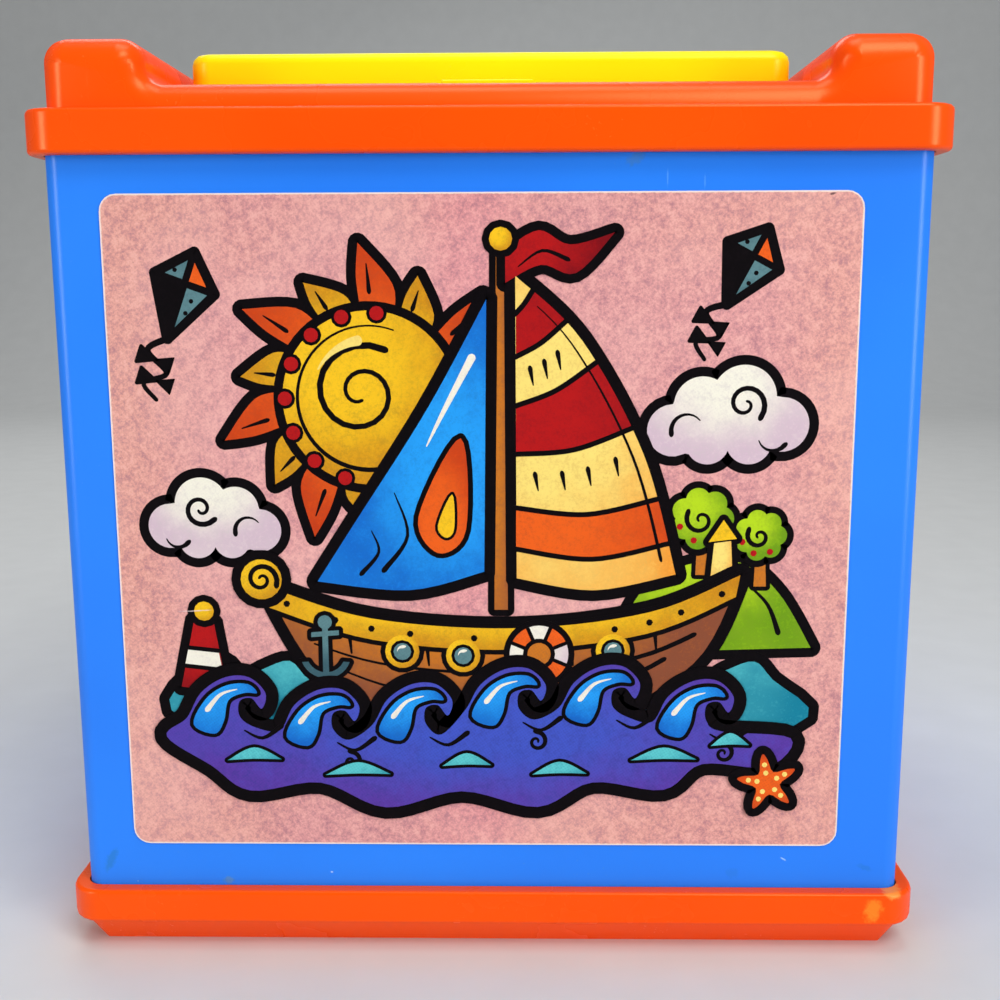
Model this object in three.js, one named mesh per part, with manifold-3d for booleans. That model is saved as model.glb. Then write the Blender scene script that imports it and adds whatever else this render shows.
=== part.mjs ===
// A spring-up puppet in a square plastic box with a hinged lid. The box, base, top frame and lid are
// injection mouldings; the puppet rides on a coil spring and is held down by the lid's slide catch.
// Millimetres, +Z up. The origin is on the floor under the middle of the box, and the label faces -Y.
import * as THREE from "three";
import { mergeVertices } from "three/addons/utils/BufferGeometryUtils.js";
import Module from "manifold-3d";

const wasm = await Module();
wasm.setup();

// Sizes that everything shares
const gap = 0.3; // clearance between pieces that meet or run in each other
const overrun = 1; // how far a cutting body runs past what it cuts

// The four walls, moulded in one
const shell = {
  width: 152,
  depth: 152,
  shownHeight: 132.7, // between the base's ledge and the top rim
  cornerRadius: 3,
  wall: 2.4,
  postRadius: 4.5,
  postInset: 10, // from the outside of both walls to a screw post's axis
  postHeight: 30,
  webThickness: 2,
  webHeight: 22,
  windowWidth: 14,
  windowHeight: 4,
};

// The tray under the walls
const base = {
  proud: 2.95,
  faceHeight: 6.35,
  step: 1.5,
  slopeIn: 3.8,
  slopeHeight: 5.7,
  edgeRound: 0.8,
  floor: 2.6,
  floorRise: 3.3, // hollow height under the floor
  skirt: 2.5,
  rib: 1.6,
  ribLift: 0.9, // ribs stop short of the surface that the toy stands on
  ribSpacing: 48,
  padRadius: 5,
};

// The rim, deck and side rails round the lid
const top = {
  proud: 2.9,
  rimHeight: 7.55,
  bandHeight: 4.5,
  deck: 2.4,
  edgeRound: 0.8,
  endRound: 4.2, // rounding of the front and back edges of the deck and rails
  railWidth: 17.6,
  railInset: 0.4, // from the outside of the walls to the rail's outer wall
  railHeight: 7.55,
  railRound: 4.4,
  railFillet: 2.8,
  collarHeight: 4.2,
  collarWall: 2.2,
  collarClearance: 1, // between the collar and the lid's skirt
  mouthRadius: 4,
  fingerWidth: 12,
  fingerThickness: 2,
  fingerLength: 11,
  fingerSpacing: 90,
  barb: 1.6,
  barbHeight: 2.6,
};

// The hinged lid and its pins
const lid = {
  railGap: 2.6, // beside the lid, to a rail's inner wall
  frontLand: 20.6, // deck shown in front of the lid, and as much behind it
  cornerRadius: 4,
  height: 7.7,
  lift: 0.5, // above the deck
  wall: 2.2,
  edgeRound: 2,
  ribInset: 22,
  ribHeight: 1.2,
  ribWidth: 1.6,
  axisBehind: 4.2, // from the lid's rear face back to the hinge axis
  axisHeight: 3.5, // above the deck
  earRadius: 3.2,
  earReach: 9, // how far an ear runs forward along the lid's side
  pinRadius: 1.5,
  pinBite: 2.4, // how far a pin enters the rail
  bossRadius: 4,
  bossDepth: 3.4, // behind the rail's wall
  tongueWidth: 14,
  tongueDrop: 8.5, // below the lid's skirt
  tongueSwing: 1.2, // room in front of the tongue as the lid turns
  windowWidth: 8,
  windowHeight: 2.5,
  windowLift: 2, // sill below the window
};

// The slide catch in the front of the deck
const catchSlide = {
  width: 20,
  length: 12.8,
  height: 5.2,
  travel: 3,
  noseWidth: 7,
  noseHeight: 1.9,
  noseReach: 3, // past the slide's body
  padWidth: 16,
  padLength: 7,
  padRise: 1, // above the deck
  padSetBack: 1, // from the slide's front to the pad
  gripDepth: 0.5,
  gripPitch: 1.75,
  gripCount: 3,
  springRadius: 1.5,
  springWire: 0.5,
  springTurns: 6,
  springSeat: 8.2, // depth of the spring's bore
};

// The tray that carries the slide
const catchTray = {
  floor: 2,
  cheek: 2,
  length: 15.6,
  earWidth: 8,
  screwRadius: 1.3,
  headRadius: 2.6,
  headHeight: 1.6,
  screwBite: 4.2,
  bossRadius: 3.4,
};

// The printed label
const label = {
  width: 130.3,
  height: 118,
  thickness: gap,
  cornerRadius: 3,
  bottom: 8.3, // above the base's ledge
  shift: -1.2, // glued a little left of the middle
};

// Screws through the base
const screwRimShare = 0.75; // a screw head's flat top, as a share of its radius
const baseScrew = {
  headRadius: 3.2,
  headHeight: 1.8,
  shankRadius: 1.4,
  bite: 18, // how far the shank runs into a wall post
  headLift: 1.2, // above the surface that the toy stands on
};

// The coil spring and the clips that hold its lowest turn
const spring = {
  radius: 27, // to the middle of the wire
  wire: 2.4,
  height: 52, // shut in the box
  turns: 10,
  deadShare: 0.72, // share of the first and last turn that lies flat
  endRise: 4.7, // pitch of the first and last turn
};
const clip = {
  width: 8,
  thickness: 1.6,
  overWire: 4, // how far it reaches over the coil
  foot: 9,
  screwRadius: 1.4,
  headRadius: 2.6,
  headHeight: 1.5,
  screwFromEdge: 3.6,
};
const clipTurnShares = [0.08, 0.35, 0.62]; // where the clips sit, as shares of the first turn

// The puppet, from the spring's cup up
const cup = { radius: 32, plate: 2.6, skirt: 2, skirtDrop: 4.6, postRadius: 8, postRise: 40 };
const sleeve = { inner: 33, outer: 39, folds: 4, thickness: 1.6, lift: 5.4 };
const torso = { radius: 37, height: 23.3 };
// Points of the torso's outline, as shares of its radius and height
const torsoShares = [[0.92, 0], [1, 0.28], [0.96, 0.52], [0.8, 0.74], [0.56, 0.9], [0.35, 1]];
const ruff = { inner: 8.4, outer: 39, thickness: 1.5, waves: 9, wave: 2.2, lift: 0.9, midShare: 0.6 };
const head = { radius: 26, lift: 6.4, tallShare: 1.03, chinShare: 0.82 };
const noseBall = { radius: 5.6, sink: 2.2, drop: 2 };
const cap = {
  thickness: 2,
  frontRise: 9, // of the hood's edge above the middle of the head, at the front
  backDrop: 13, // and below it, at the back
  hornRadius: 13,
  tipRadius: 2.6,
  hornRise: 44,
  hornReach: 41,
  tipRise: 27,
  bellRadius: 4.6,
  bellSlot: 0.9,
  taperShare: 0.8, // how early the horn thins
};
// Places along a horn, out and up: shares of the head's radius, then of the horn's reach and rise
const hornRootShares = [[0.3, 0.55], [0.55, 1]];
const hornBendShares = [[0.6, 0.85], [0.88, 0.8]];
const arm = {
  radius: 6.2,
  cuffRadius: 7.2,
  shoulder: 20,
  reach: 40.5,
  forward: 30,
  elbow: 7.5,
  wristRise: 22,
};
// Points along an arm, as shares of its reach, its way forward and its rise
const armShares = [[0.88, 0.7, 0], [1, 0.96, 0.35], [1, 1, 1]];
const shoulderShare = 0.2; // of the way forward
const hand = { width: 6.6, thickness: 4.8, length: 8.6, thumb: 2.7, thumbLength: 4.9, thumbDrop: 1.1 };

// How finely the rounds are cut
const fine = { corner: 5, edge: 3, circle: 20, small: 12, head: 28, hand: 16, wave: 6 };
const fineCoil = { steps: 12, sides: 6 };
const fineSpring = { steps: 8, sides: 5 };
const finePath = { horn: 10, arm: 8 };

// Places worked out from the sizes
const halfWidth = shell.width / 2;
const halfDepth = shell.depth / 2;
const floorTop = base.floorRise + base.floor;
const ledgeTop = base.slopeHeight + base.faceHeight;
const rimBottom = ledgeTop + shell.shownHeight;
const rimTop = rimBottom + top.rimHeight;
const deckTop = rimTop + top.bandHeight;
const deckUnder = deckTop - top.deck;
const railTop = deckTop + top.railHeight;
const shellBottom = floorTop + gap;
const shellTop = rimTop - 2 * gap;
const railInner = halfWidth - top.railInset - top.railWidth;
const lidHalf = { x: railInner - lid.railGap, y: halfDepth - lid.frontLand };
const lidBottom = deckTop + lid.lift;
const lidTop = lidBottom + lid.height;
const within = (half, inset) => ({ x: half.x - inset, y: half.y - inset });
const collarHalf = within(lidHalf, lid.wall + top.collarClearance);
const mouthHalf = within(collarHalf, top.collarWall);
const hinge = { y: lidHalf.y + lid.axisBehind, z: deckTop + lid.axisHeight };
const postX = halfWidth - shell.postInset;
const postY = halfDepth - shell.postInset;
const tongueBottom = lidBottom - lid.tongueDrop;
const windowBottom = tongueBottom + lid.windowLift;
const slideRear = -lidHalf.y - gap - catchSlide.noseReach / 2;
const slideTop = deckUnder - gap;
const slideBottom = slideTop - catchSlide.height;
const noseMiddle = windowBottom + lid.windowHeight / 2;
const traySeat = slideBottom - gap;
const springBase = floorTop + gap;
const cupUnder = springBase + spring.height + gap;
const cupTop = cupUnder + cup.plate;
const torsoBottom = cupTop + gap;
const torsoTop = torsoBottom + torso.height;
const headMiddle = torsoTop + head.lift + head.radius * head.chinShare;

// Materials
const plastic = (color) => new THREE.MeshStandardMaterial({ color, roughness: 0.35, metalness: 0 });
const cloth = (color) => new THREE.MeshStandardMaterial({ color, roughness: 0.9, metalness: 0 });
const materials = {
  blue: plastic(0x2a7fe8),
  orange: plastic(0xff5a08),
  yellow: plastic(0xffdd10),
  white: plastic(0xf2efe6),
  flesh: plastic(0xf3c29c),
  red: plastic(0xd8281c),
  paper: new THREE.MeshStandardMaterial({ color: 0xe8a09a, roughness: 0.6, metalness: 0 }),
  steel: new THREE.MeshStandardMaterial({ color: 0xb9bcc0, roughness: 0.3, metalness: 1 }),
  brass: new THREE.MeshStandardMaterial({ color: 0xd6a640, roughness: 0.25, metalness: 1 }),
  redCloth: cloth(0xc8321e),
  blueCloth: cloth(0x2b62c4),
  yellowCloth: cloth(0xf0c020),
  whiteCloth: cloth(0xf4f0e4),
};

// A closed three.js geometry as a solid that can be joined and cut
function solid(geometry) {
  const bare = geometry.clone();
  bare.deleteAttribute("normal");
  bare.deleteAttribute("uv");
  const merged = mergeVertices(bare, 1e-4);
  return new wasm.Manifold(
    new wasm.Mesh({
      numProp: 3,
      vertProperties: new Float32Array(merged.attributes.position.array),
      triVerts: new Uint32Array(merged.index.array),
    }),
  );
}

const join = (...solids) => solids.reduce((a, b) => a.add(b));
const cut = (from, ...cutters) => cutters.reduce((a, b) => a.subtract(b), from);

// A solid as a three.js geometry
function geometryOf(made) {
  const mesh = made.getMesh();
  const positions = new Float32Array(mesh.numVert * 3);
  for (let i = 0; i < mesh.numVert; i++) {
    const start = i * mesh.numProp;
    positions.set(mesh.vertProperties.subarray(start, start + 3), i * 3);
  }
  const geometry = new THREE.BufferGeometry();
  geometry.setAttribute("position", new THREE.BufferAttribute(positions, 3));
  geometry.setIndex(new THREE.BufferAttribute(new Uint32Array(mesh.triVerts), 1));
  geometry.computeVertexNormals();
  return geometry;
}

// A solid block between two corners
function block(x0, x1, y0, y1, z0, z1) {
  const geometry = new THREE.BoxGeometry(x1 - x0, y1 - y0, z1 - z0);
  return solid(geometry.translate((x0 + x1) / 2, (y0 + y1) / 2, (z0 + z1) / 2));
}

// A block whose ends along X may come in either order
const between = (xa, xb, ...rest) => block(Math.min(xa, xb), Math.max(xa, xb), ...rest);

// A cylinder of a radius between two heights, standing at x, y
function post(radius, z0, z1, x = 0, y = 0, sides = fine.circle) {
  const geometry = new THREE.CylinderGeometry(radius, radius, z1 - z0, sides);
  return solid(geometry.rotateX(Math.PI / 2).translate(x, y, (z0 + z1) / 2));
}

// A cylinder along X between two places
function crossPin(radius, x0, x1, y, z, sides = fine.circle) {
  const geometry = new THREE.CylinderGeometry(radius, radius, Math.abs(x1 - x0), sides);
  return solid(geometry.rotateZ(Math.PI / 2).translate((x0 + x1) / 2, y, z));
}

// The corner points of a rounded rectangle, anticlockwise
function roundedOutline(halfX, halfY, radius, steps = fine.corner) {
  const points = [];
  for (const [sx, sy, start] of [[1, -1, -0.5], [1, 1, 0], [-1, 1, 0.5], [-1, -1, 1]]) {
    for (let i = 0; i <= steps; i++) {
      const angle = (start + i / steps / 2) * Math.PI;
      points.push(
        new THREE.Vector2(
          sx * (halfX - radius) + radius * Math.cos(angle),
          sy * (halfY - radius) + radius * Math.sin(angle),
        ),
      );
    }
  }
  return points;
}

// A closed geometry through rings of equal point count, each ring a list of 3-D points
function skin(rings) {
  const count = rings[0].length;
  const positions = rings.flat().flatMap((p) => [p.x, p.y, p.z]);
  const faces = [];
  for (let r = 0; r + 1 < rings.length; r++) {
    for (let i = 0; i < count; i++) {
      const a = r * count + i;
      const b = r * count + ((i + 1) % count);
      faces.push(a, b, b + count, a, b + count, a + count);
    }
  }
  const last = (rings.length - 1) * count;
  for (let i = 1; i + 1 < count; i++) {
    faces.push(0, i + 1, i);
    faces.push(last, last + i, last + i + 1);
  }
  const geometry = new THREE.BufferGeometry();
  geometry.setAttribute("position", new THREE.BufferAttribute(new Float32Array(positions), 3));
  geometry.setIndex(faces);
  return geometry;
}

// A moulding whose plan is a rounded square that changes with height: levels are [height, inset] pairs
function moulding(halfX, halfY, radius, levels) {
  const rings = levels.map(([z, inset]) =>
    roundedOutline(halfX - inset, halfY - inset, radius - inset).map((p) => new THREE.Vector3(p.x, p.y, z)),
  );
  return solid(skin(rings));
}

const slab = (halfX, halfY, radius, z0, z1) => moulding(halfX, halfY, radius, [[z0, 0], [z1, 0]]);

// Levels that round a moulding's upper edge by a radius
function roundedTop(z, radius, steps = fine.edge) {
  return Array.from({ length: steps + 1 }, (_, i) => {
    const angle = (i / steps / 2) * Math.PI;
    return [z - radius + radius * Math.sin(angle), radius * (1 - Math.cos(angle))];
  });
}

// The same for a lower outer edge
function roundedFoot(z, radius) {
  return roundedTop(0, radius)
    .map(([height, inset]) => [z - height, inset])
    .reverse();
}

// A round tube through points, with a radius at each
function tube(points, radii, sides) {
  const frames = [];
  let normal = new THREE.Vector3(0, 0, 1);
  points.forEach((p, i) => {
    const before = points[Math.max(i - 1, 0)];
    const after = points[Math.min(i + 1, points.length - 1)];
    const along = after.clone().sub(before).normalize();
    if (Math.abs(normal.dot(along)) > 0.99) normal = new THREE.Vector3(1, 0, 0);
    const across = new THREE.Vector3().crossVectors(along, normal).normalize();
    normal = new THREE.Vector3().crossVectors(across, along).normalize();
    frames.push([across, normal.clone()]);
  });
  return skin(
    points.map((p, i) =>
      Array.from({ length: sides }, (_, k) => {
        const angle = (k / sides) * 2 * Math.PI;
        const [across, up] = frames[i];
        return p
          .clone()
          .addScaledVector(across, -radii[i] * Math.cos(angle))
          .addScaledVector(up, radii[i] * Math.sin(angle));
      }),
    ),
  );
}

// A lathe turned about the Z axis from [radius, height] pairs that start and end on the axis, or close
function turned(profile, segments = fine.circle) {
  const points = profile.map(([r, z]) => new THREE.Vector2(r, z));
  return new THREE.LatheGeometry(points, segments).rotateX(Math.PI / 2);
}

// An ellipsoid at a place
function ellipsoid(rx, ry, rz, x, y, z, segments = fine.circle) {
  const ball = new THREE.SphereGeometry(1, segments, Math.round(segments / 2));
  return solid(ball.scale(rx, ry, rz).translate(x, y, z));
}

// The outline of a sheet's profile extruded along Y or X between two places
function bar(points, axis, from, to) {
  const shape = new THREE.Shape(points.map(([a, b]) => new THREE.Vector2(a, b)));
  const geometry = new THREE.ExtrudeGeometry(shape, { depth: to - from, bevelEnabled: false });
  if (axis === "y") return solid(geometry.rotateX(Math.PI / 2).translate(0, to, 0));
  return solid(geometry.rotateX(Math.PI / 2).rotateZ(Math.PI / 2).translate(from, 0, 0));
}

const toy = new THREE.Group();
function add(name, shape, material, group = toy) {
  const geometry = shape.isBufferGeometry ? shape : geometryOf(shape);
  const mesh = new THREE.Mesh(geometry, material);
  mesh.name = name;
  group.add(mesh);
  return mesh;
}

// Both signs, for pieces in mirrored pairs
const sides = [-1, 1];

// The base: a tray with a stepped and sloping foot, ribbed below
function baseTray() {
  const outerX = halfWidth + base.proud;
  const outerY = halfDepth + base.proud;
  const radius = shell.cornerRadius + base.proud;
  const body = moulding(outerX, outerY, radius, [
    [0, base.step + base.slopeIn],
    [base.slopeHeight, base.step],
    ...roundedFoot(base.slopeHeight, base.edgeRound),
    ...roundedTop(ledgeTop, base.edgeRound),
  ]);
  const pocketRadius = shell.cornerRadius + gap;
  const pocket = slab(halfWidth + gap, halfDepth + gap, pocketRadius, floorTop, ledgeTop + overrun);
  const footX = outerX - base.step - base.slopeIn - base.skirt;
  const footY = outerY - base.step - base.slopeIn - base.skirt;
  const hollow = slab(footX, footY, shell.cornerRadius, -overrun, base.floorRise);
  const ribs = sides.flatMap((s) => {
    const place = (s * base.ribSpacing) / 2;
    const half = base.rib / 2;
    return [
      block(-footX, footX, place - half, place + half, base.ribLift, base.floorRise),
      block(place - half, place + half, -footY, footY, base.ribLift, base.floorRise),
    ];
  });
  const pads = postPlaces().map(([x, y]) => post(base.padRadius, base.ribLift, base.floorRise, x, y));
  const counterbore = baseScrew.headLift + baseScrew.headHeight + gap;
  const holes = postPlaces().flatMap(([x, y]) => [
    post(baseScrew.headRadius + gap, -overrun, counterbore, x, y),
    post(baseScrew.shankRadius + gap, -overrun, floorTop + overrun, x, y),
  ]);
  const clipHoles = clipPlaces().map(([angle]) => {
    const [x, y] = polar(clipScrewRadius(), angle);
    return post(clip.screwRadius + gap, -overrun, floorTop + overrun, x, y, fine.small);
  });
  return cut(join(cut(body, pocket, hollow), ...ribs, ...pads), ...holes, ...clipHoles);
}

function postPlaces() {
  return sides.flatMap((sx) => sides.map((sy) => [sx * postX, sy * postY]));
}

const polar = (radius, angle) => [radius * Math.cos(angle), radius * Math.sin(angle)];
const clipPlaces = () => clipTurnShares.map((share) => [share * 2 * Math.PI]);
const clipScrewRadius = () => spring.radius + spring.wire / 2 + gap + clip.foot - clip.screwFromEdge;

// The walls: a square tube with screw posts at its foot and windows for the top frame's snaps
function boxShell() {
  const walls = cut(
    slab(halfWidth, halfDepth, shell.cornerRadius, shellBottom, shellTop),
    slab(halfWidth - shell.wall, halfDepth - shell.wall, gap, shellBottom - overrun, shellTop + overrun),
  );
  const half = shell.webThickness / 2;
  const posts = postPlaces().flatMap(([x, y]) => {
    const wallX = Math.sign(x) * (halfWidth - shell.wall / 2);
    const wallY = Math.sign(y) * (halfDepth - shell.wall / 2);
    const webTop = shellBottom + shell.webHeight;
    return [
      post(shell.postRadius, shellBottom, shellBottom + shell.postHeight, x, y),
      between(x, wallX, y - half, y + half, shellBottom, webTop),
      block(x - half, x + half, Math.min(y, wallY), Math.max(y, wallY), shellBottom, webTop),
    ];
  });
  const pilots = postPlaces().map(([x, y]) =>
    post(baseScrew.shankRadius + gap, shellBottom - overrun, shellBottom + baseScrew.bite + gap, x, y),
  );
  const windows = fingerPlaces().map(({ x, y, along }) => {
    const wide = shell.windowWidth / 2;
    const deep = shell.wall + overrun;
    const low = shellTop - shell.windowHeight / 2 - top.rimHeight / 2;
    const [dx, dy] = along === "x" ? [wide, deep] : [deep, wide];
    return block(x - dx, x + dx, y - dy, y + dy, low, low + shell.windowHeight);
  });
  return cut(join(walls, ...posts), ...pilots, ...windows);
}

// Where the top frame's snap fingers meet the walls: two a side
function fingerPlaces() {
  return sides.flatMap((s) =>
    sides.flatMap((t) => [
      { x: (s * top.fingerSpacing) / 2, y: t * (halfDepth - shell.wall), along: "x", out: t },
      { x: t * (halfWidth - shell.wall), y: (s * top.fingerSpacing) / 2, along: "y", out: t },
    ]),
  );
}

// The section of the top frame across its rails, as an outline that the frame extrudes front to back
function railSection() {
  const outer = halfWidth - top.railInset;
  const inner = railInner;
  const round = top.railRound;
  const fillet = top.railFillet;
  const low = rimTop - top.endRound - overrun;
  const shape = new THREE.Shape();
  shape.moveTo(-outer, low);
  shape.lineTo(outer, low);
  shape.lineTo(outer, railTop - round);
  shape.absarc(outer - round, railTop - round, round, 0, Math.PI / 2);
  shape.lineTo(inner + round, railTop);
  shape.absarc(inner + round, railTop - round, round, Math.PI / 2, Math.PI);
  shape.lineTo(inner, deckTop + fillet);
  shape.absarc(inner - fillet, deckTop + fillet, fillet, 0, -Math.PI / 2, true);
  shape.lineTo(-inner + fillet, deckTop);
  shape.absarc(-inner + fillet, deckTop + fillet, fillet, -Math.PI / 2, -Math.PI, true);
  shape.lineTo(-inner, railTop - round);
  shape.absarc(-inner - round, railTop - round, round, 0, Math.PI / 2);
  shape.lineTo(-outer + round, railTop);
  shape.absarc(-outer + round, railTop - round, round, Math.PI / 2, Math.PI);
  return shape;
}

// The rails and deck, rounded at the front and back ends
function railsAndDeck() {
  const geometry = new THREE.ExtrudeGeometry(railSection(), {
    depth: shell.depth - 2 * top.endRound,
    bevelThickness: top.endRound,
    bevelSize: top.endRound,
    bevelOffset: -top.endRound,
    bevelSegments: fine.edge,
    curveSegments: fine.corner,
  });
  return solid(geometry.rotateX(Math.PI / 2).translate(0, halfDepth - top.endRound, 0));
}

function topFrame() {
  const rim = moulding(halfWidth + top.proud, halfDepth + top.proud, shell.cornerRadius + top.proud, [
    ...roundedFoot(rimBottom, top.edgeRound),
    ...roundedTop(rimTop, top.edgeRound),
  ]);
  const innerX = halfWidth - shell.wall;
  const innerY = halfDepth - shell.wall;
  const pocket = slab(
    halfWidth + gap,
    halfDepth + gap,
    shell.cornerRadius + gap,
    rimBottom - overrun,
    shellTop + gap,
  );
  const cavity = slab(innerX, innerY, gap, rimBottom - overrun, deckUnder);
  const railHollows = sides.map((s) => {
    const near = railInner + shell.wall;
    const far = halfWidth - top.railInset - shell.wall;
    const end = halfDepth - shell.wall - gap;
    return between(s * near, s * far, -end, end, deckUnder - overrun, railTop - shell.wall);
  });
  const mouth = slab(mouthHalf.x, mouthHalf.y, top.mouthRadius, deckUnder - overrun, railTop + overrun);
  const collarRadius = top.mouthRadius + top.collarWall;
  const collar = slab(collarHalf.x, collarHalf.y, collarRadius, deckUnder, deckTop + top.collarHeight);
  const bosses = sides.map((s) => {
    const end = railInner + shell.wall + lid.bossDepth;
    return crossPin(lid.bossRadius, s * (railInner + shell.wall / 2), s * end, hinge.y, hinge.z);
  });
  const bossRoom = [hinge.y - lid.bossRadius, hinge.y + lid.bossRadius, deckUnder, railTop - shell.wall / 2];
  const trimmedBosses = bosses.map((b) => b.intersect(block(-halfWidth, halfWidth, ...bossRoom)));
  const pinHoles = sides.map((s) => {
    const end = railInner + lid.pinBite + gap;
    return crossPin(lid.pinRadius + gap, s * (railInner - overrun), s * end, hinge.y, hinge.z);
  });
  const screwBosses = trayScrews().map(([x, y]) =>
    post(catchTray.bossRadius, traySeat + gap, deckUnder + gap, x, y),
  );
  const screwHoles = trayScrews().map(([x, y]) => {
    const end = traySeat + catchTray.screwBite + gap;
    return post(catchTray.screwRadius + gap, traySeat - overrun, end, x, y, fine.small);
  });
  const moulded = cut(join(rim, railsAndDeck()), pocket, cavity, ...railHollows);
  const body = join(moulded, collar, ...trimmedBosses, ...screwBosses);
  return join(
    cut(body, mouth, ...pinHoles, ...screwHoles, tongueSlot(), padSlot()),
    ...fingerPlaces().map(snapFinger),
  );
}

// A finger under the deck whose barb hooks into a window of the wall
function snapFinger({ x, y, along, out }) {
  const low = deckUnder - top.fingerLength;
  const wide = top.fingerWidth / 2;
  const windowTop = shellTop - shell.windowHeight / 2 - top.rimHeight / 2 + shell.windowHeight;
  const barbTop = windowTop - gap;
  const face = -gap;
  const profile = [
    [face - top.fingerThickness, low],
    [face, low],
    [face, barbTop - top.barbHeight],
    [face + top.barb, barbTop],
    [face, barbTop],
    [face, deckUnder + gap],
    [face - top.fingerThickness, deckUnder + gap],
  ];
  const wallPlace = along === "x" ? y : x;
  const across = profile.map(([d, z]) => [wallPlace + out * d, z]);
  const outline = out > 0 ? across : across.slice().reverse();
  return along === "x" ? bar(outline, "x", x - wide, x + wide) : bar(outline, "y", y - wide, y + wide);
}

// Slots in the deck for the lid's tongue and the slide's pad
function tongueSlot() {
  const half = lid.tongueWidth / 2 + gap;
  const front = -lidHalf.y - lid.tongueSwing;
  return block(-half, half, front, -collarHalf.y - gap / 2, deckUnder - overrun, deckTop + overrun);
}

function padSlot() {
  const half = catchSlide.padWidth / 2 + gap;
  const front = padFront() - catchSlide.travel - gap;
  const rear = padFront() + catchSlide.padLength + gap;
  return block(-half, half, front, rear, deckUnder - overrun, deckTop + overrun);
}

const slideFront = () => slideRear - catchSlide.length;
const padFront = () => slideFront() + catchSlide.padSetBack;

function trayScrews() {
  const x = catchSlide.width / 2 + catchTray.cheek + gap + catchTray.earWidth / 2;
  const y = slideRear - catchSlide.length / 2;
  return sides.map((s) => [s * x, y]);
}

// The lid: a shallow square cap with ears for its hinge pins and a tongue for the catch
function lidCap() {
  const levels = [[lidBottom, 0], ...roundedTop(lidTop, lid.edgeRound)];
  const outer = moulding(lidHalf.x, lidHalf.y, lid.cornerRadius, levels);
  const inner = within(lidHalf, lid.wall);
  const roof = lidTop - lid.wall;
  const hollow = slab(inner.x, inner.y, lid.cornerRadius - lid.wall, lidBottom - overrun, roof);
  const ring = within(lidHalf, lid.ribInset);
  const ringInner = within(ring, lid.ribWidth);
  const ringLow = roof - lid.ribHeight;
  const rib = cut(
    slab(ring.x, ring.y, lid.cornerRadius, ringLow, roof + gap),
    slab(ringInner.x, ringInner.y, lid.cornerRadius - lid.ribWidth, ringLow - overrun, roof),
  );
  const ears = sides.map((s) => {
    const near = s * inner.x;
    const far = s * lidHalf.x;
    const eye = crossPin(lid.earRadius, near, far, hinge.y, hinge.z);
    const earTop = hinge.z + lid.earRadius * Math.cos(Math.PI / fine.circle);
    return join(eye, between(near, far, lidHalf.y - lid.earReach, hinge.y, lidBottom, earTop));
  });
  const pinSeats = sides.map((s) => {
    const ends = [s * (inner.x - overrun), s * (lidHalf.x + overrun)];
    return crossPin(lid.pinRadius + gap, ...ends, hinge.y, hinge.z);
  });
  const tongueHalf = lid.tongueWidth / 2;
  const tongue = block(-tongueHalf, tongueHalf, -lidHalf.y, -inner.y, tongueBottom, lidBottom + gap);
  const windowHalf = lid.windowWidth / 2;
  const [front, back] = [-lidHalf.y - overrun, -inner.y + overrun];
  const window = block(-windowHalf, windowHalf, front, back, windowBottom, windowBottom + lid.windowHeight);
  return cut(join(cut(outer, hollow), rib, ...ears, tongue), window, ...pinSeats);
}

// The slide: a block under the deck with a nose for the lid's tongue and a ribbed pad for a thumb
function slide() {
  const half = catchSlide.width / 2;
  const body = block(-half, half, slideFront(), slideRear, slideBottom, slideTop);
  const noseEnd = -lidHalf.y + lid.wall - gap * 2;
  const nose = block(
    -catchSlide.noseWidth / 2,
    catchSlide.noseWidth / 2,
    slideRear - gap,
    noseEnd,
    noseMiddle - catchSlide.noseHeight / 2,
    noseMiddle + catchSlide.noseHeight / 2,
  );
  const padTop = deckTop + catchSlide.padRise;
  const padHalf = catchSlide.padWidth / 2;
  const pad = block(-padHalf, padHalf, padFront(), padFront() + catchSlide.padLength, slideTop - gap, padTop);
  const grips = Array.from({ length: catchSlide.gripCount }, (_, i) => {
    const place = i + 1 / 2 - catchSlide.gripCount / 2;
    const middle = padFront() + catchSlide.padLength / 2 + place * catchSlide.gripPitch;
    const width = catchSlide.gripPitch / 4;
    const low = padTop - catchSlide.gripDepth;
    const across = padHalf + overrun;
    return block(-across, across, middle - width, middle + width, low, padTop + overrun);
  });
  const deep = catchSlide.springSeat + overrun;
  const bore = new THREE.CylinderGeometry(slideBore(), slideBore(), deep, fine.small);
  const boreMiddle = slideFront() + (catchSlide.springSeat - overrun) / 2;
  const seat = solid(bore.translate(0, boreMiddle, (slideBottom + slideTop) / 2));
  return cut(join(body, nose, pad), seat, ...grips);
}

const slideBore = () => catchSlide.springRadius + catchSlide.springWire / 2 + gap;

// The small return spring between the frame's front wall and the slide
function slideSpring() {
  const start = -halfDepth + shell.wall + gap;
  const end = slideFront() + catchSlide.springSeat - gap;
  const steps = catchSlide.springTurns * fineSpring.steps;
  const wireHalf = catchSlide.springWire / 2;
  const middle = (slideBottom + slideTop) / 2;
  const points = Array.from({ length: steps + 1 }, (_, i) => {
    const angle = (i / fineSpring.steps) * 2 * Math.PI;
    const along = start + wireHalf + ((end - start - 2 * wireHalf) * i) / steps;
    return new THREE.Vector3(
      catchSlide.springRadius * Math.cos(angle),
      along,
      middle + catchSlide.springRadius * Math.sin(angle),
    );
  });
  return tube(points, points.map(() => wireHalf), fineSpring.sides);
}

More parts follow.
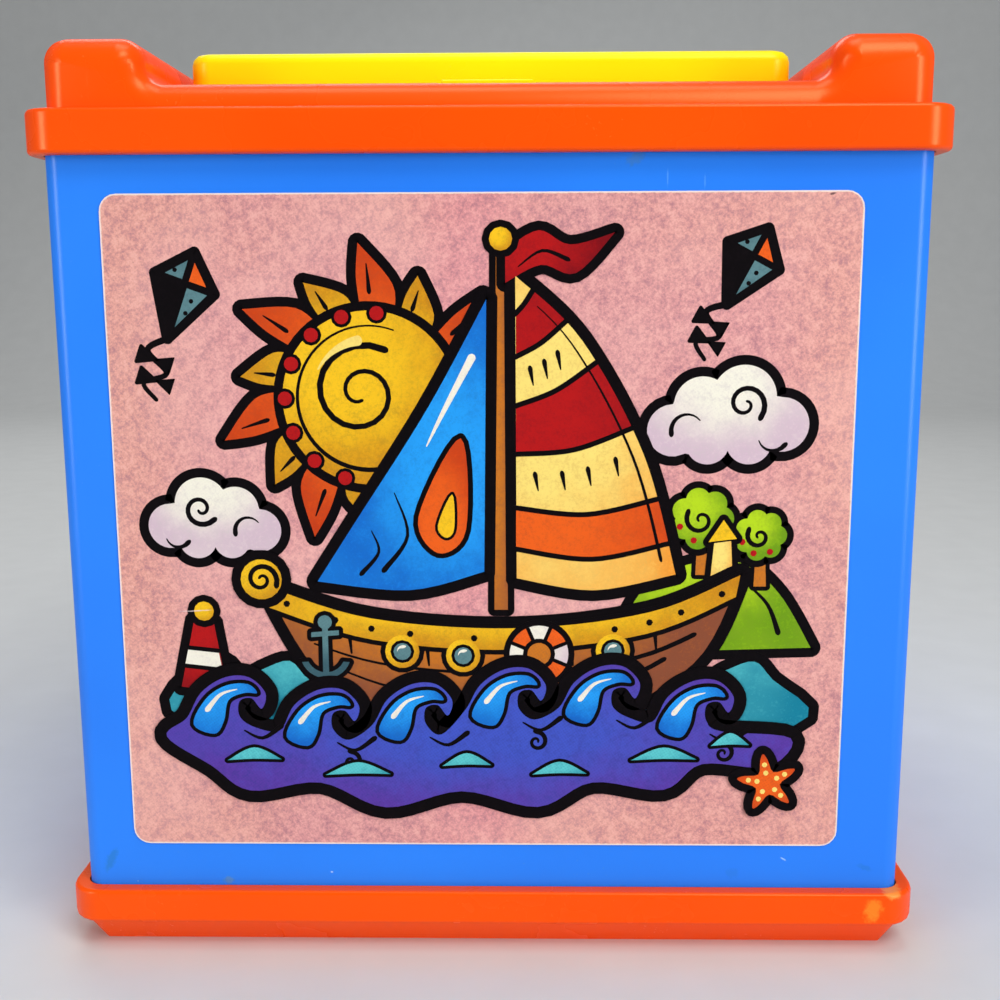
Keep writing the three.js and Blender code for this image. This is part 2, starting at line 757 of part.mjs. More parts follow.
// The tray that closes the slide's channel from below
function tray() {
  const half = catchSlide.width / 2 + gap;
  const rear = slideRear;
  const front = rear - catchTray.length;
  const low = traySeat - catchTray.floor;
  const floor = block(-half - catchTray.cheek, half + catchTray.cheek, front, rear, low, traySeat);
  const cheeks = sides.map((s) => {
    const near = s * half;
    const far = s * (half + catchTray.cheek);
    return between(near, far, front, rear, low, deckUnder - gap);
  });
  const ears = trayScrews().map(([x, y]) => {
    const wide = catchTray.earWidth / 2;
    return between(0, x + Math.sign(x) * wide, y - wide, y + wide, low, traySeat);
  });
  const holes = trayScrews().map(([x, y]) =>
    post(catchTray.screwRadius + gap, low - overrun, traySeat + overrun, x, y, fine.small),
  );
  return cut(join(floor, ...cheeks, ...ears), ...holes);
}

// A pan-head screw that points up, with its seat at a height
function screw(headRadius, headHeight, shankRadius, length, x, y, seat) {
  const head = turned(
    [
      [0, -headHeight],
      [headRadius * screwRimShare, -headHeight],
      [headRadius, -headHeight / 2],
      [headRadius, 0],
      [shankRadius, 0],
      [shankRadius, length - shankRadius],
      [0, length],
    ],
    fine.small,
  );
  return solid(head.translate(x, y, seat));
}

// A screw that points down
function screwDown(headRadius, headHeight, shankRadius, length, x, y, seat) {
  const made = turned(
    [
      [0, -length],
      [shankRadius, shankRadius - length],
      [shankRadius, 0],
      [headRadius, 0],
      [headRadius, headHeight / 2],
      [headRadius * screwRimShare, headHeight],
      [0, headHeight],
    ],
    fine.small,
  );
  return solid(made.translate(x, y, seat));
}

// Height of the spring's wire after some turns: the end turns lie flat, then rise to the pitch between
function springRise(turn) {
  const { turns, deadShare, endRise, wire, height } = spring;
  const full = height - wire;
  const ramp = (t) => endRise * THREE.MathUtils.smoothstep(t, deadShare, 1);
  if (turn <= 1) return ramp(turn);
  if (turn >= turns - 1) return full - ramp(turns - turn);
  return endRise + ((full - 2 * endRise) * (turn - 1)) / (turns - 2);
}

function coilSpring() {
  const steps = spring.turns * fineCoil.steps;
  const middle = springBase + spring.wire / 2;
  const points = Array.from({ length: steps + 1 }, (_, i) => {
    const turn = (i / steps) * spring.turns;
    const [x, y] = polar(spring.radius, turn * 2 * Math.PI);
    return new THREE.Vector3(x, y, middle + springRise(turn));
  });
  let least = Infinity;
  points.forEach((p, i) => {
    points.slice(i + fineCoil.steps / 2).forEach((q) => {
      least = Math.min(least, p.distanceTo(q) - spring.wire);
    });
  });
  console.log("coil spring's least gap to itself: " + least.toFixed(2) + " mm");
  return tube(points, points.map(() => spring.wire / 2), fineCoil.sides);
}

// A clip that screws to the floor and reaches over the lowest turn
function springClip(angle) {
  const wireOut = spring.radius + spring.wire / 2 + gap;
  const wireTop = springBase + spring.wire + gap;
  const high = wireTop + clip.thickness;
  const tip = spring.radius + spring.wire / 2 - clip.overWire;
  const outline = [
    [wireOut, floorTop + gap],
    [wireOut + clip.foot, floorTop + gap],
    [wireOut + clip.foot, floorTop + gap + clip.thickness],
    [wireOut + clip.thickness, floorTop + gap + clip.thickness],
    [wireOut + clip.thickness, high],
    [tip, high],
    [tip, wireTop],
    [wireOut, wireTop],
  ];
  const flat = bar(outline, "y", -clip.width / 2, clip.width / 2);
  const hole = post(clip.screwRadius + gap, floorTop, high + overrun, clipScrewRadius(), 0, fine.small);
  return geometryOf(cut(flat, hole)).rotateZ(angle);
}

// The cup on top of the spring, with the post that carries the head
function springCup() {
  const skirtInner = cup.radius - cup.skirt;
  return solid(
    turned([
      [0, cupUnder],
      [skirtInner, cupUnder],
      [skirtInner, cupUnder - cup.skirtDrop],
      [cup.radius, cupUnder - cup.skirtDrop],
      [cup.radius, cupTop],
      [cup.postRadius, cupTop],
      [cup.postRadius, cupTop + cup.postRise],
      [0, cupTop + cup.postRise],
    ], fine.head),
  );
}

// The pleated cloth sleeve round the spring
function clothSleeve() {
  const low = floorTop + sleeve.lift;
  const high = cupUnder - gap;
  const steps = sleeve.folds * 2;
  const fold = (sleeve.outer - sleeve.inner - sleeve.thickness) / 2;
  const middle = (sleeve.outer + sleeve.inner + sleeve.thickness) / 2;
  const line = Array.from({ length: steps + 1 }, (_, i) => [
    middle + fold * (i % 2 ? 1 : -1),
    low + ((high - low) * i) / steps,
  ]);
  const outside = line;
  const inside = line.map(([r, z]) => [r - sleeve.thickness, z]).reverse();
  return solid(turned([...outside, ...inside, outside[0]], fine.head));
}

// The stuffed body over the cup
function torsoBody() {
  const bore = cup.postRadius + gap;
  const outline = torsoShares.map(([wide, high]) => [torso.radius * wide, torsoBottom + torso.height * high]);
  return solid(turned([[bore, torsoBottom], ...outline, [bore, torsoTop], [bore, torsoBottom]], fine.head));
}

// A waved ruff round the neck
function neckRuff() {
  const count = ruff.waves * fine.wave;
  const level = torsoTop + gap;
  const ring = (radius, height, share) =>
    Array.from({ length: count }, (_, i) => {
      const angle = (i / count) * 2 * Math.PI;
      const [x, y] = polar(radius, angle);
      const wave = ruff.wave * Math.sin(ruff.waves * angle) * share;
      return new THREE.Vector3(x, y, height + wave);
    });
  const mid = (ruff.inner + ruff.outer) / 2;
  const low = [
    ring(ruff.inner, level, 0),
    ring(mid, level + ruff.lift, ruff.midShare),
    ring(ruff.outer, level + ruff.lift, 1),
  ];
  const high = low.map((r) => r.map((p) => p.clone().setZ(p.z + ruff.thickness)));
  const rings = [...low, ...high.reverse()];
  const positions = rings.flat().flatMap((p) => [p.x, p.y, p.z]);
  const faces = [];
  for (let r = 0; r < rings.length; r++) {
    for (let i = 0; i < count; i++) {
      const a = r * count + i;
      const b = r * count + ((i + 1) % count);
      const c = ((r + 1) % rings.length) * count + ((i + 1) % count);
      const d = ((r + 1) % rings.length) * count + i;
      faces.push(a, b, c, a, c, d);
    }
  }
  const geometry = new THREE.BufferGeometry();
  geometry.setAttribute("position", new THREE.BufferAttribute(new Float32Array(positions), 3));
  geometry.setIndex(faces);
  return solid(geometry);
}

const headBall = (extra) =>
  ellipsoid(
    head.radius + extra,
    head.radius + extra,
    head.radius * head.tallShare + extra,
    0,
    0,
    headMiddle,
    fine.head,
  );

function headBody() {
  const socket = post(cup.postRadius + gap, torsoTop, cupTop + cup.postRise + gap);
  const chinLow = headMiddle - head.radius * head.chinShare;
  const chin = block(-head.radius, head.radius, -head.radius, head.radius, torsoTop, chinLow);
  return cut(headBall(0), socket, chin);
}

function nose() {
  const { radius, sink, drop } = noseBall;
  const ball = ellipsoid(radius, radius, radius, 0, sink - head.radius - radius, headMiddle - drop);
  return cut(ball, headBall(gap));
}

// One half of the two-coloured hood, with its horn
function capHalf(side) {
  const outer = headBall(gap + cap.thickness);
  const inner = headBall(gap);
  const reach = head.radius * 2;
  const high = headMiddle + reach;
  const rise = cap.frontRise;
  const fall = cap.backDrop;
  const slope = (rise + fall) / 2; // the hood's edge runs down from front to back
  const keep = bar(
    [
      [-reach, headMiddle + rise + slope],
      [reach, headMiddle - fall - slope],
      [reach, high],
      [-reach, high],
    ],
    "x",
    -reach,
    reach,
  );
  const place = (out, up) => new THREE.Vector3(side * out, 0, headMiddle + up);
  const hornPath = new THREE.CatmullRomCurve3([
    ...hornRootShares.map(([out, up]) => place(head.radius * out, head.radius * up)),
    ...hornBendShares.map(([out, up]) => place(cap.hornReach * out, cap.hornRise * up)),
    place(cap.hornReach, cap.tipRise),
  ]);
  const steps = finePath.horn;
  const points = hornPath.getPoints(steps);
  const thin = (i) => Math.pow(i / steps, cap.taperShare);
  const radii = points.map((_, i) => THREE.MathUtils.lerp(cap.hornRadius, cap.tipRadius, thin(i)));
  const horn = solid(tube(points, radii, fine.small));
  const hood = join(outer.intersect(keep), horn);
  const seam = gap / 2;
  const own = side < 0 ? [-reach, -seam] : [seam, reach];
  const room = post(cup.postRadius + gap, torsoTop, headMiddle);
  return cut(hood, inner, room).intersect(block(...own, -reach, reach, 0, lidTop));
}

function bell(side) {
  const z = headMiddle + cap.tipRise - cap.bellRadius - 3 * gap;
  const x = side * cap.hornReach;
  const ball = ellipsoid(cap.bellRadius, cap.bellRadius, cap.bellRadius, x, 0, z, fine.small);
  const half = cap.bellSlot / 2;
  const low = z - cap.bellRadius;
  const slot = block(x - cap.bellRadius, x + cap.bellRadius, -half, half, low, low + cap.bellRadius / 2);
  return cut(ball, slot);
}

// A stuffed arm from the shoulder out to the wrist
function armTube(side) {
  const elbow = torsoBottom + arm.elbow;
  const climb = arm.wristRise - arm.elbow;
  const path = new THREE.CatmullRomCurve3([
    new THREE.Vector3(side * arm.shoulder, -arm.forward * shoulderShare, elbow + arm.radius / 2),
    ...armShares.map(
      ([out, on, up]) => new THREE.Vector3(side * arm.reach * out, -arm.forward * on, elbow + climb * up),
    ),
  ]);
  const steps = finePath.arm;
  const points = path.getPoints(steps);
  const radii = points.map((_, i) => (i === steps ? arm.cuffRadius : arm.radius));
  return cut(solid(tube(points, radii, fine.small)), torsoPuffed());
}

// The torso's outside, a gap larger, which the arms are cut by
function torsoPuffed() {
  const outline = torsoShares.map(([wide, high]) => [
    torso.radius * wide + gap,
    torsoBottom - gap + (torso.height + 2 * gap) * high,
  ]);
  return solid(turned([[0, torsoBottom - gap], ...outline, [0, torsoTop + gap]], fine.head));
}

function mitten(side) {
  const z = torsoBottom + arm.wristRise + gap + hand.length;
  const x = side * arm.reach;
  const y = -arm.forward;
  const palm = ellipsoid(hand.width, hand.thickness, hand.length, x, y, z, fine.hand);
  const thumbX = x - side * hand.width;
  const thumbZ = z - hand.thumbDrop;
  const thumb = ellipsoid(hand.thumb, hand.thumb, hand.thumbLength, thumbX, y, thumbZ, fine.small);
  return join(palm, thumb);
}

// The box
add("base_tray", baseTray(), materials.orange);
add("box_shell", boxShell(), materials.blue);
add("top_frame", topFrame(), materials.orange);

const labelLow = ledgeTop + label.bottom;
const labelShape = new THREE.Shape(roundedOutline(label.width / 2, label.height / 2, label.cornerRadius));
const labelSheet = new THREE.ExtrudeGeometry(labelShape, { depth: label.thickness, bevelEnabled: false });
labelSheet.rotateX(Math.PI / 2);
const frontLabel = add("front_label", labelSheet, materials.paper);
frontLabel.position.set(label.shift, -halfDepth, labelLow + label.height / 2);

postPlaces().forEach(([x, y], i) => {
  const seat = baseScrew.headLift + baseScrew.headHeight;
  const length = shellBottom + baseScrew.bite - seat;
  const made = screw(baseScrew.headRadius, baseScrew.headHeight, baseScrew.shankRadius, length, x, y, seat);
  add("base_screw_" + (i + 1), made, materials.steel);
});

// The lid and its hinge pins
add("lid", lidCap(), materials.yellow);
for (const side of sides) {
  const name = side < 0 ? "left" : "right";
  const near = side * (lidHalf.x - lid.wall);
  const far = side * (railInner + lid.pinBite);
  add("hinge_pin_" + name, crossPin(lid.pinRadius, near, far, hinge.y, hinge.z, fine.small), materials.steel);
}

// The catch
add("catch_slide", slide(), materials.yellow);
add("catch_spring", slideSpring(), materials.steel);
add("catch_tray", tray(), materials.orange);
trayScrews().forEach(([x, y], i) => {
  const seat = traySeat - catchTray.floor - gap;
  const length = catchTray.floor + gap + catchTray.screwBite - gap;
  const made = screw(catchTray.headRadius, catchTray.headHeight, catchTray.screwRadius, length, x, y, seat);
  add("catch_screw_" + (i === 0 ? "left" : "right"), made, materials.steel);
});

// The spring and its clips
add("coil_spring", coilSpring(), materials.steel);
clipPlaces().forEach(([angle], i) => {
  add("spring_clip_" + (i + 1), springClip(angle), materials.steel);
  const [x, y] = polar(clipScrewRadius(), angle);
  const seat = floorTop + 2 * gap + clip.thickness;
  const length = seat - base.floorRise;
  const made = screwDown(clip.headRadius, clip.headHeight, clip.screwRadius, length, x, y, seat);
  add("clip_screw_" + (i + 1), made, materials.steel);
});

// The puppet
add("spring_cup", springCup(), materials.white);
add("cloth_sleeve", clothSleeve(), materials.redCloth);
add("torso", torsoBody(), materials.blueCloth);
add("ruff", neckRuff(), materials.whiteCloth);
add("head", headBody(), materials.flesh);
add("nose", nose(), materials.red);
for (const side of sides) {
  const name = side < 0 ? "left" : "right";
  add("cap_" + name, capHalf(side), side < 0 ? materials.blueCloth : materials.yellowCloth);
  add("bell_" + name, bell(side), materials.brass);
  add("arm_" + name, armTube(side), materials.blueCloth);
  add("hand_" + name, mitten(side), materials.white);
}

export default toy;
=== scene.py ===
"""Finish of a jack-in-the-box: moulded box, printed label, and the sprung cloth puppet inside."""

import logging
import math
from dataclasses import dataclass, field
from enum import Enum
from typing import Callable, ClassVar, Iterable, Optional, Sequence, Union

import bmesh
import bpy
from mathutils import Matrix, Vector, noise
from mathutils.geometry import tessellate_polygon


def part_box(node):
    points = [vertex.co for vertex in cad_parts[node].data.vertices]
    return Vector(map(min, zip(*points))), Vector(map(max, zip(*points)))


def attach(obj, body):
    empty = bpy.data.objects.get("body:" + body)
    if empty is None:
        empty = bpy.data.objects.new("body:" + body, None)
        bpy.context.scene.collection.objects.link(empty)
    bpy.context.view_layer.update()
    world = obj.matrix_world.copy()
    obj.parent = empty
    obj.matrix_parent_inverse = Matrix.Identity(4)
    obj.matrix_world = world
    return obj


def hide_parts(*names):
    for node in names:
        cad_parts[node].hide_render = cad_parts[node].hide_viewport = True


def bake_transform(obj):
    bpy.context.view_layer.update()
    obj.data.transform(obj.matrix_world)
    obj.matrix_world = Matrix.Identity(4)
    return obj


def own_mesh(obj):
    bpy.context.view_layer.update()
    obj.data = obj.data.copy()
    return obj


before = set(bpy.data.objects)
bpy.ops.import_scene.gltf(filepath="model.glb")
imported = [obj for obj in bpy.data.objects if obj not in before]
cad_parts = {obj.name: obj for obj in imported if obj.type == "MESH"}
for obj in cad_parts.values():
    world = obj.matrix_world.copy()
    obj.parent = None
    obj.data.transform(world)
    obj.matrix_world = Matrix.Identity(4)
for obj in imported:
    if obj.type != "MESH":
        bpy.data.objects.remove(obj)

log = logging.getLogger("jack_in_the_box")

MM = 0.001
UP = Vector((0, 0, 1))

Colour = tuple[float, float, float, float]
Point = tuple[float, float]
Rings = list[list[Vector]]
Value = Union["Wire", float, Colour, Vector, tuple, object]


def srgb(red: int, green: int, blue: int) -> Colour:
    """Return a colour as seen on a screen, 0 to 255 a channel, as the linear one that shaders use."""
    shares = (channel / 255 for channel in (red, green, blue))
    return (*(s / 12.92 if s <= 0.04045 else ((s + 0.055) / 1.055) ** 2.4 for s in shares), 1.0)


class Wire:
    """The output of a node, which plain arithmetic carries on through Math nodes."""

    def __init__(self, graph: "Graph", socket: bpy.types.NodeSocket) -> None:
        """Keep a socket and its graph."""
        self.graph, self.socket = graph, socket

    def __add__(self, other: Value) -> "Wire":
        """Return the sum."""
        return self.graph.math("ADD", self, other)

    def __sub__(self, other: Value) -> "Wire":
        """Return the difference."""
        return self.graph.math("SUBTRACT", self, other)

    def __rsub__(self, other: Value) -> "Wire":
        """Return the difference from a number."""
        return self.graph.math("SUBTRACT", other, self)

    def __mul__(self, other: Value) -> "Wire":
        """Return the product."""
        return self.graph.math("MULTIPLY", self, other)

    def __truediv__(self, other: Value) -> "Wire":
        """Return the quotient."""
        return self.graph.math("DIVIDE", self, other)

    def __abs__(self) -> "Wire":
        """Return the size without its sign."""
        return self.graph.math("ABSOLUTE", self)

    __radd__ = __add__


class Graph:
    """Short calls for the nodes that the finishes and the repeated shapes are made of."""

    def __init__(self, tree: bpy.types.NodeTree) -> None:
        """Wrap a node tree."""
        self.tree = tree

    def node(self, kind: str, inputs: Optional[dict] = None, **settings: object) -> list[Wire]:
        """Add a node.

        Args:
            kind: The node's type name.
            inputs: Values or wires for its inputs, by name or place.
            **settings: Properties of the node itself.

        Returns:
            Its outputs.
        """
        made = self.tree.nodes.new(kind)
        for name, setting in settings.items():
            setattr(made, name, setting)
        for name, value in (inputs or {}).items():
            self.wire(value, made.inputs[name])
        return [Wire(self, socket) for socket in made.outputs if socket.enabled]

    def add(self, kind: str, inputs: Optional[dict] = None, **settings: object) -> Wire:
        """Add a node and return its first output."""
        return self.node(kind, inputs, **settings)[0]

    def named(self, kind: str, inputs: Optional[dict] = None, **settings: object) -> dict[str, Wire]:
        """Add a node and return its outputs by name."""
        return {wire.socket.name: wire for wire in self.node(kind, inputs, **settings)}

    def wire(self, value: Value, socket: bpy.types.NodeSocket) -> None:
        """Link a wire to an input, or set the input to a plain value.

        Args:
            value: The wire or the plain value.
            socket: The input.
        """
        if isinstance(value, Wire):
            self.tree.links.new(value.socket, socket)
        else:
            socket.default_value = value

    def math(self, operation: str, *values: Value) -> Wire:
        """Return the result of a Math node."""
        return self.add("ShaderNodeMath", dict(enumerate(values)), operation=operation)

    def vector(self, operation: str, *values: Value) -> Wire:
        """Return the result of a Vector Math node."""
        return self.add("ShaderNodeVectorMath", dict(enumerate(values)), operation=operation)

    def xyz(self, x: Value = 0.0, y: Value = 0.0, z: Value = 0.0) -> Wire:
        """Return a vector made of its parts."""
        return self.add("ShaderNodeCombineXYZ", {0: x, 1: y, 2: z})

    def parts(self, vector: Value) -> list[Wire]:
        """Return the three parts of a vector."""
        return self.node("ShaderNodeSeparateXYZ", {0: vector})

    def mix(self, share: Value, first: Value, second: Value) -> Wire:
        """Return the mix of two colours by a share."""
        return self.add("ShaderNodeMix", {0: share, 6: first, 7: second}, data_type="RGBA")

    def noise(self, place: Value, scale: float, detail: float = 2.0, roughness: float = 0.5) -> Wire:
        """Return the value of a Noise Texture at a place."""
        inputs = {"Vector": place, "Scale": scale, "Detail": detail, "Roughness": roughness}
        return self.add("ShaderNodeTexNoise", inputs)

    def step(self, value: Value, low: float, high: float, to_low: float = 0.0, to_high: float = 1.0) -> Wire:
        """Return a value moved smoothly from one range to another and held at its ends."""
        inputs = dict(enumerate((value, low, high, to_low, to_high)))
        return self.add("ShaderNodeMapRange", inputs, interpolation_type="SMOOTHSTEP")

    def stretched(self, place: Value, scale: tuple[float, float, float]) -> Wire:
        """Return coordinates scaled by a different amount on each axis."""
        return self.vector("MULTIPLY", place, scale)

    def turned(self, place: Value, axis: str, angle: float) -> Wire:
        """Return coordinates turned about an axis."""
        inputs = {"Vector": place, "Angle": angle}
        return self.add("ShaderNodeVectorRotate", inputs, rotation_type=axis + "_AXIS")

    def map(self, name: str) -> Wire:
        """Return the coordinates of a piece's own UV map."""
        return self.add("ShaderNodeUVMap", uv_map=name)

    def relief(self, height: Value, distance: float, strength: float = 1.0) -> Wire:
        """Return the normal that a height gives."""
        return self.add("ShaderNodeBump", {"Height": height, "Distance": distance, "Strength": strength})


SOCKET_KINDS = {float: "NodeSocketFloat", Colour: "NodeSocketColor", Vector: "NodeSocketVector"}


def shared_effect(lay_out: Callable[..., dict[str, Wire]]) -> Callable[..., dict[str, Wire]]:
    """Turn a function that lays out nodes into one node group, whose inputs are the function's arguments.

    Args:
        lay_out: The function, which takes a graph and the group's inputs.

    Returns:
        A function that adds the group to a finish.
    """
    kinds = {name: SOCKET_KINDS[kind] for name, kind in lay_out.__annotations__.items() if kind in SOCKET_KINDS}
    trees: list[bpy.types.NodeTree] = []

    def use(graph: Graph, **given: Value) -> dict[str, Wire]:
        """Add the group to a finish, building it the first time, and return its outputs by name."""
        if not trees:
            tree = bpy.data.node_groups.new(lay_out.__name__, "ShaderNodeTree")
            for name, kind in kinds.items():
                tree.interface.new_socket(name, in_out="INPUT", socket_type=kind)
            inner = Graph(tree)
            results = lay_out(inner, *inner.node("NodeGroupInput")[: len(kinds)])
            for name in results:
                kind = SOCKET_KINDS[Colour if name == "colour" else float]
                tree.interface.new_socket(name, in_out="OUTPUT", socket_type=kind)
            inner.node("NodeGroupOutput", results)
            trees.append(tree)
        return graph.named("ShaderNodeGroup", given, node_tree=trees[0])

    return use


@shared_effect
def moulded_skin(
    g: Graph,
    place: Vector,
    colour: Colour,
    drift_colour: Colour,
    drift: float,
    wear: float,
    wear_colour: Colour,
    roughness: float,
) -> dict[str, Wire]:
    """Lay out a glossy moulding: slow drift of colour, orange peel, scuffs and dust.

    Args:
        g: The group's nodes.
        place: The object coordinates in metres.
        colour: The plastic's colour.
        drift_colour: The colour that it drifts towards.
        drift: How far it drifts.
        wear: How strongly it is worn.
        wear_colour: The colour of scuffs and dust.
        roughness: Its roughness where it is clean.

    Returns:
        The colour, the roughness and the height.
    """
    slow = g.step(g.noise(place, 16), 0.35, 0.68) * drift
    streaks = [g.noise(g.stretched(place, scale), 1.0, 5, 0.72) for scale in ((90, 90, 1400), (1400, 700, 60))]
    scuffs = g.step(g.math("MAXIMUM", *streaks), 0.67, 0.74)
    specks = g.step(g.noise(place, 1500, 1), 0.7, 0.76)
    patch = g.step(g.noise(place, 38, 3, 0.6), 0.52, 0.66)
    worn = g.math("MAXIMUM", scuffs, specks) * patch * wear
    return {
        "colour": g.mix(worn, g.mix(slow, colour, drift_colour), wear_colour),
        "roughness": roughness + g.noise(place, 60, 3) * 0.1 + worn * 0.25,
        "height": g.noise(place, 700) * 0.35 - worn * 0.25,
    }


@shared_effect
def mottled_print(
    g: Graph,
    place: Vector,
    colour: Colour,
    speck_colour: Colour,
    pale_colour: Colour,
    specks: float,
    fade: float,
    screen: float,
) -> dict[str, Wire]:
    """Lay out old litho print on paper: specks, cloudy fading and a fine screen.

    Args:
        g: The group's nodes.
        place: The object coordinates in metres.
        colour: The ink's colour.
        speck_colour: The colour of its dark specks and dots.
        pale_colour: The colour where it has faded.
        specks: How strong the specks are.
        fade: How strong the fading is.
        screen: How strong the printing dots are.

    Returns:
        The colour.
    """
    grain = g.noise(place, 1700, 3, 0.8) * 0.6 + g.noise(place, 420, 3, 0.6) * 0.4
    dark = g.mix(g.step(grain, 0.44, 0.66) * specks, colour, speck_colour)
    light = g.mix(g.step(grain, 0.5, 0.36) * specks * 0.5, dark, pale_colour)
    faded = g.mix(g.step(g.noise(place, 45), 0.42, 0.7) * fade, light, pale_colour)
    rows = {"Vector": g.turned(place, "Y", 0.6), "Scale": 2100.0, "Randomness": 0.0}
    dots = g.step(g.add("ShaderNodeTexVoronoi", rows), 0.5, 0.2)
    return {"colour": g.mix(dots * screen, faded, speck_colour)}


@shared_effect
def woven_cloth(
    g: Graph,
    place: Vector,
    cloth_place: Vector,
    threads: float,
    colour: Colour,
    shade_colour: Colour,
    faded_colour: Colour,
) -> dict[str, Wire]:
    """Lay out plain-woven cloth on a piece's own map, whose unit is one metre.

    Args:
        g: The group's nodes.
        place: The object coordinates in metres.
        cloth_place: The coordinates of the cloth map.
        threads: Threads in a metre.
        colour: The threads' colour.
        shade_colour: The colour between them.
        faded_colour: The colour where the cloth is worn.

    Returns:
        The colour and the height.
    """
    across, along = (part * threads for part in g.parts(cloth_place)[:2])
    warp, weft = (abs(g.math("SINE", way * math.pi)) for way in (across, along))
    over = g.math("FLOORED_MODULO", g.math("FLOOR", across) + g.math("FLOOR", along), 2.0)
    slub = g.noise(g.stretched(cloth_place, (500, 60, 1)), 1.0, 3)
    shade = (warp * over + weft * (1.0 - over)) * 0.5 + slub * 0.4
    worn = g.step(g.noise(place, 70, 3), 0.45, 0.72) * 0.25
    dark = g.mix(g.step(shade, 0.15, 0.75), shade_colour, colour)
    return {"colour": g.mix(worn, dark, faded_colour), "height": shade}


@shared_effect
def matted_fibres(
    g: Graph, place: Vector, colour: Colour, shade_colour: Colour, faded_colour: Colour
) -> dict[str, Wire]:
    """Lay out felt: short fibres lying every way, with small pills.

    Args:
        g: The group's nodes.
        place: The object coordinates in metres.
        colour: The fibres' colour.
        shade_colour: The colour between them.
        faded_colour: The colour where the felt is worn.

    Returns:
        The colour and the height.
    """
    fibres: Value = 0.0
    for angle, scale in ((0.3, (2600, 420, 900)), (1.3, (700, 2400, 380)), (2.3, (400, 900, 2600))):
        lying = g.stretched(g.turned(place, "Z", angle), scale)
        fibres = g.math("MAXIMUM", fibres, g.noise(lying, 1.0, 3, 0.6))
    shade = fibres * 0.9 + g.step(g.noise(place, 420), 0.56, 0.72) * 0.25
    dark = g.mix(g.step(shade, 0.42, 0.78), shade_colour, colour)
    worn = g.step(g.noise(place, 65, 3), 0.48, 0.7) * 0.3
    return {"colour": g.mix(worn, dark, faded_colour), "height": shade}


@dataclass(frozen=True)
class Mark:
    """One small spot on the front, a mark of use or a painted highlight: place, length and width in millimetres, tilt
    and colour.
    """

    x: float
    z: float
    length: float
    width: float
    tilt: float
    colour: Colour
    strength: float = 0.8

    def over(self, graph: Graph, place: Wire, below: Wire) -> Wire:
        """Return a colour with the mark laid over it.

        Args:
            graph: The finish's nodes.
            place: The object coordinates.
            below: The colour under the mark.

        Returns:
            The colour with the mark.
        """
        local = graph.vector("SUBTRACT", place, (self.x * MM, 0.0, self.z * MM))
        turned = graph.turned(local, "Y", math.radians(self.tilt))
        shares = graph.stretched(turned, (2 / self.length / MM, 0.0, 2 / self.width / MM))
        far = graph.vector("LENGTH", shares) + graph.noise(place, 1300)
        front = graph.step(graph.parts(place)[1], -0.072, -0.074)
        return graph.mix(graph.step(far, 1.5, 0.9, 0.0, self.strength) * front, below, self.colour)


@dataclass(frozen=True)
class Finish:
    """A finish: a name, and the values that it gives to the sockets of one Principled shader."""

    name: str
    made: ClassVar[dict[str, bpy.types.Material]] = {}

    def surface(self, graph: Graph, place: Wire) -> dict[str, Value]:
        """Return the shader's values by socket, from the object coordinates in metres.

        Args:
            graph: The material's nodes.
            place: The object coordinates in metres.

        Returns:
            Each socket's value or wire, by its name.
        """
        raise NotImplementedError

    @property
    def material(self) -> bpy.types.Material:
        """Return the material, which is made the first time that it is asked for."""
        if self.name not in self.made:
            material = bpy.data.materials.new(self.name)
            material.use_nodes = True
            graph = Graph(material.node_tree)
            shader = material.node_tree.nodes["Principled BSDF"]
            place = graph.named("ShaderNodeTexCoord")["Object"]
            for socket, value in self.surface(graph, place).items():
                graph.wire(value, shader.inputs[socket])
            self.made[self.name] = material
        return self.made[self.name]


@dataclass(frozen=True)
class MouldedPlastic(Finish):
    """Glossy injection-moulded plastic, less mirror-like where it turns away."""

    colour: Colour
    drift_colour: Colour
    wear_colour: Colour
    drift: float = 0.6
    wear: float = 0.3
    roughness: float = 0.2
    shine: float = 0.3
    glint: Colour = (1.0, 1.0, 1.0, 1.0)
    marks: tuple[Mark, ...] = ()

    def surface(self, graph: Graph, place: Wire) -> dict[str, Value]:
        """Return the shader's values."""
        given = ("colour", "drift_colour", "drift", "wear", "wear_colour", "roughness")
        skin = moulded_skin(graph, place=place, **{name: getattr(self, name) for name in given})
        colour = skin["colour"]
        for mark in self.marks:
            colour = mark.over(graph, place, colour)
        facing = graph.node("ShaderNodeLayerWeight", {"Blend": 0.5})[1]
        return {
            "Base Color": colour,
            "Roughness": skin["roughness"],
            "Specular IOR Level": graph.step(facing, 0.4, 0.85, self.shine, self.shine * 0.08),
            "Specular Tint": self.glint,
            "Normal": graph.relief(skin["height"], 0.03 * MM),
        }


LABEL_NICK = Mark(58.5, 137.8, 1.4, 0.5, 12, srgb(54, 34, 44))
LABEL_SCRATCH = Mark(-53.0, 65.1, 7.6, 0.3, 3, srgb(226, 206, 206), 0.75)


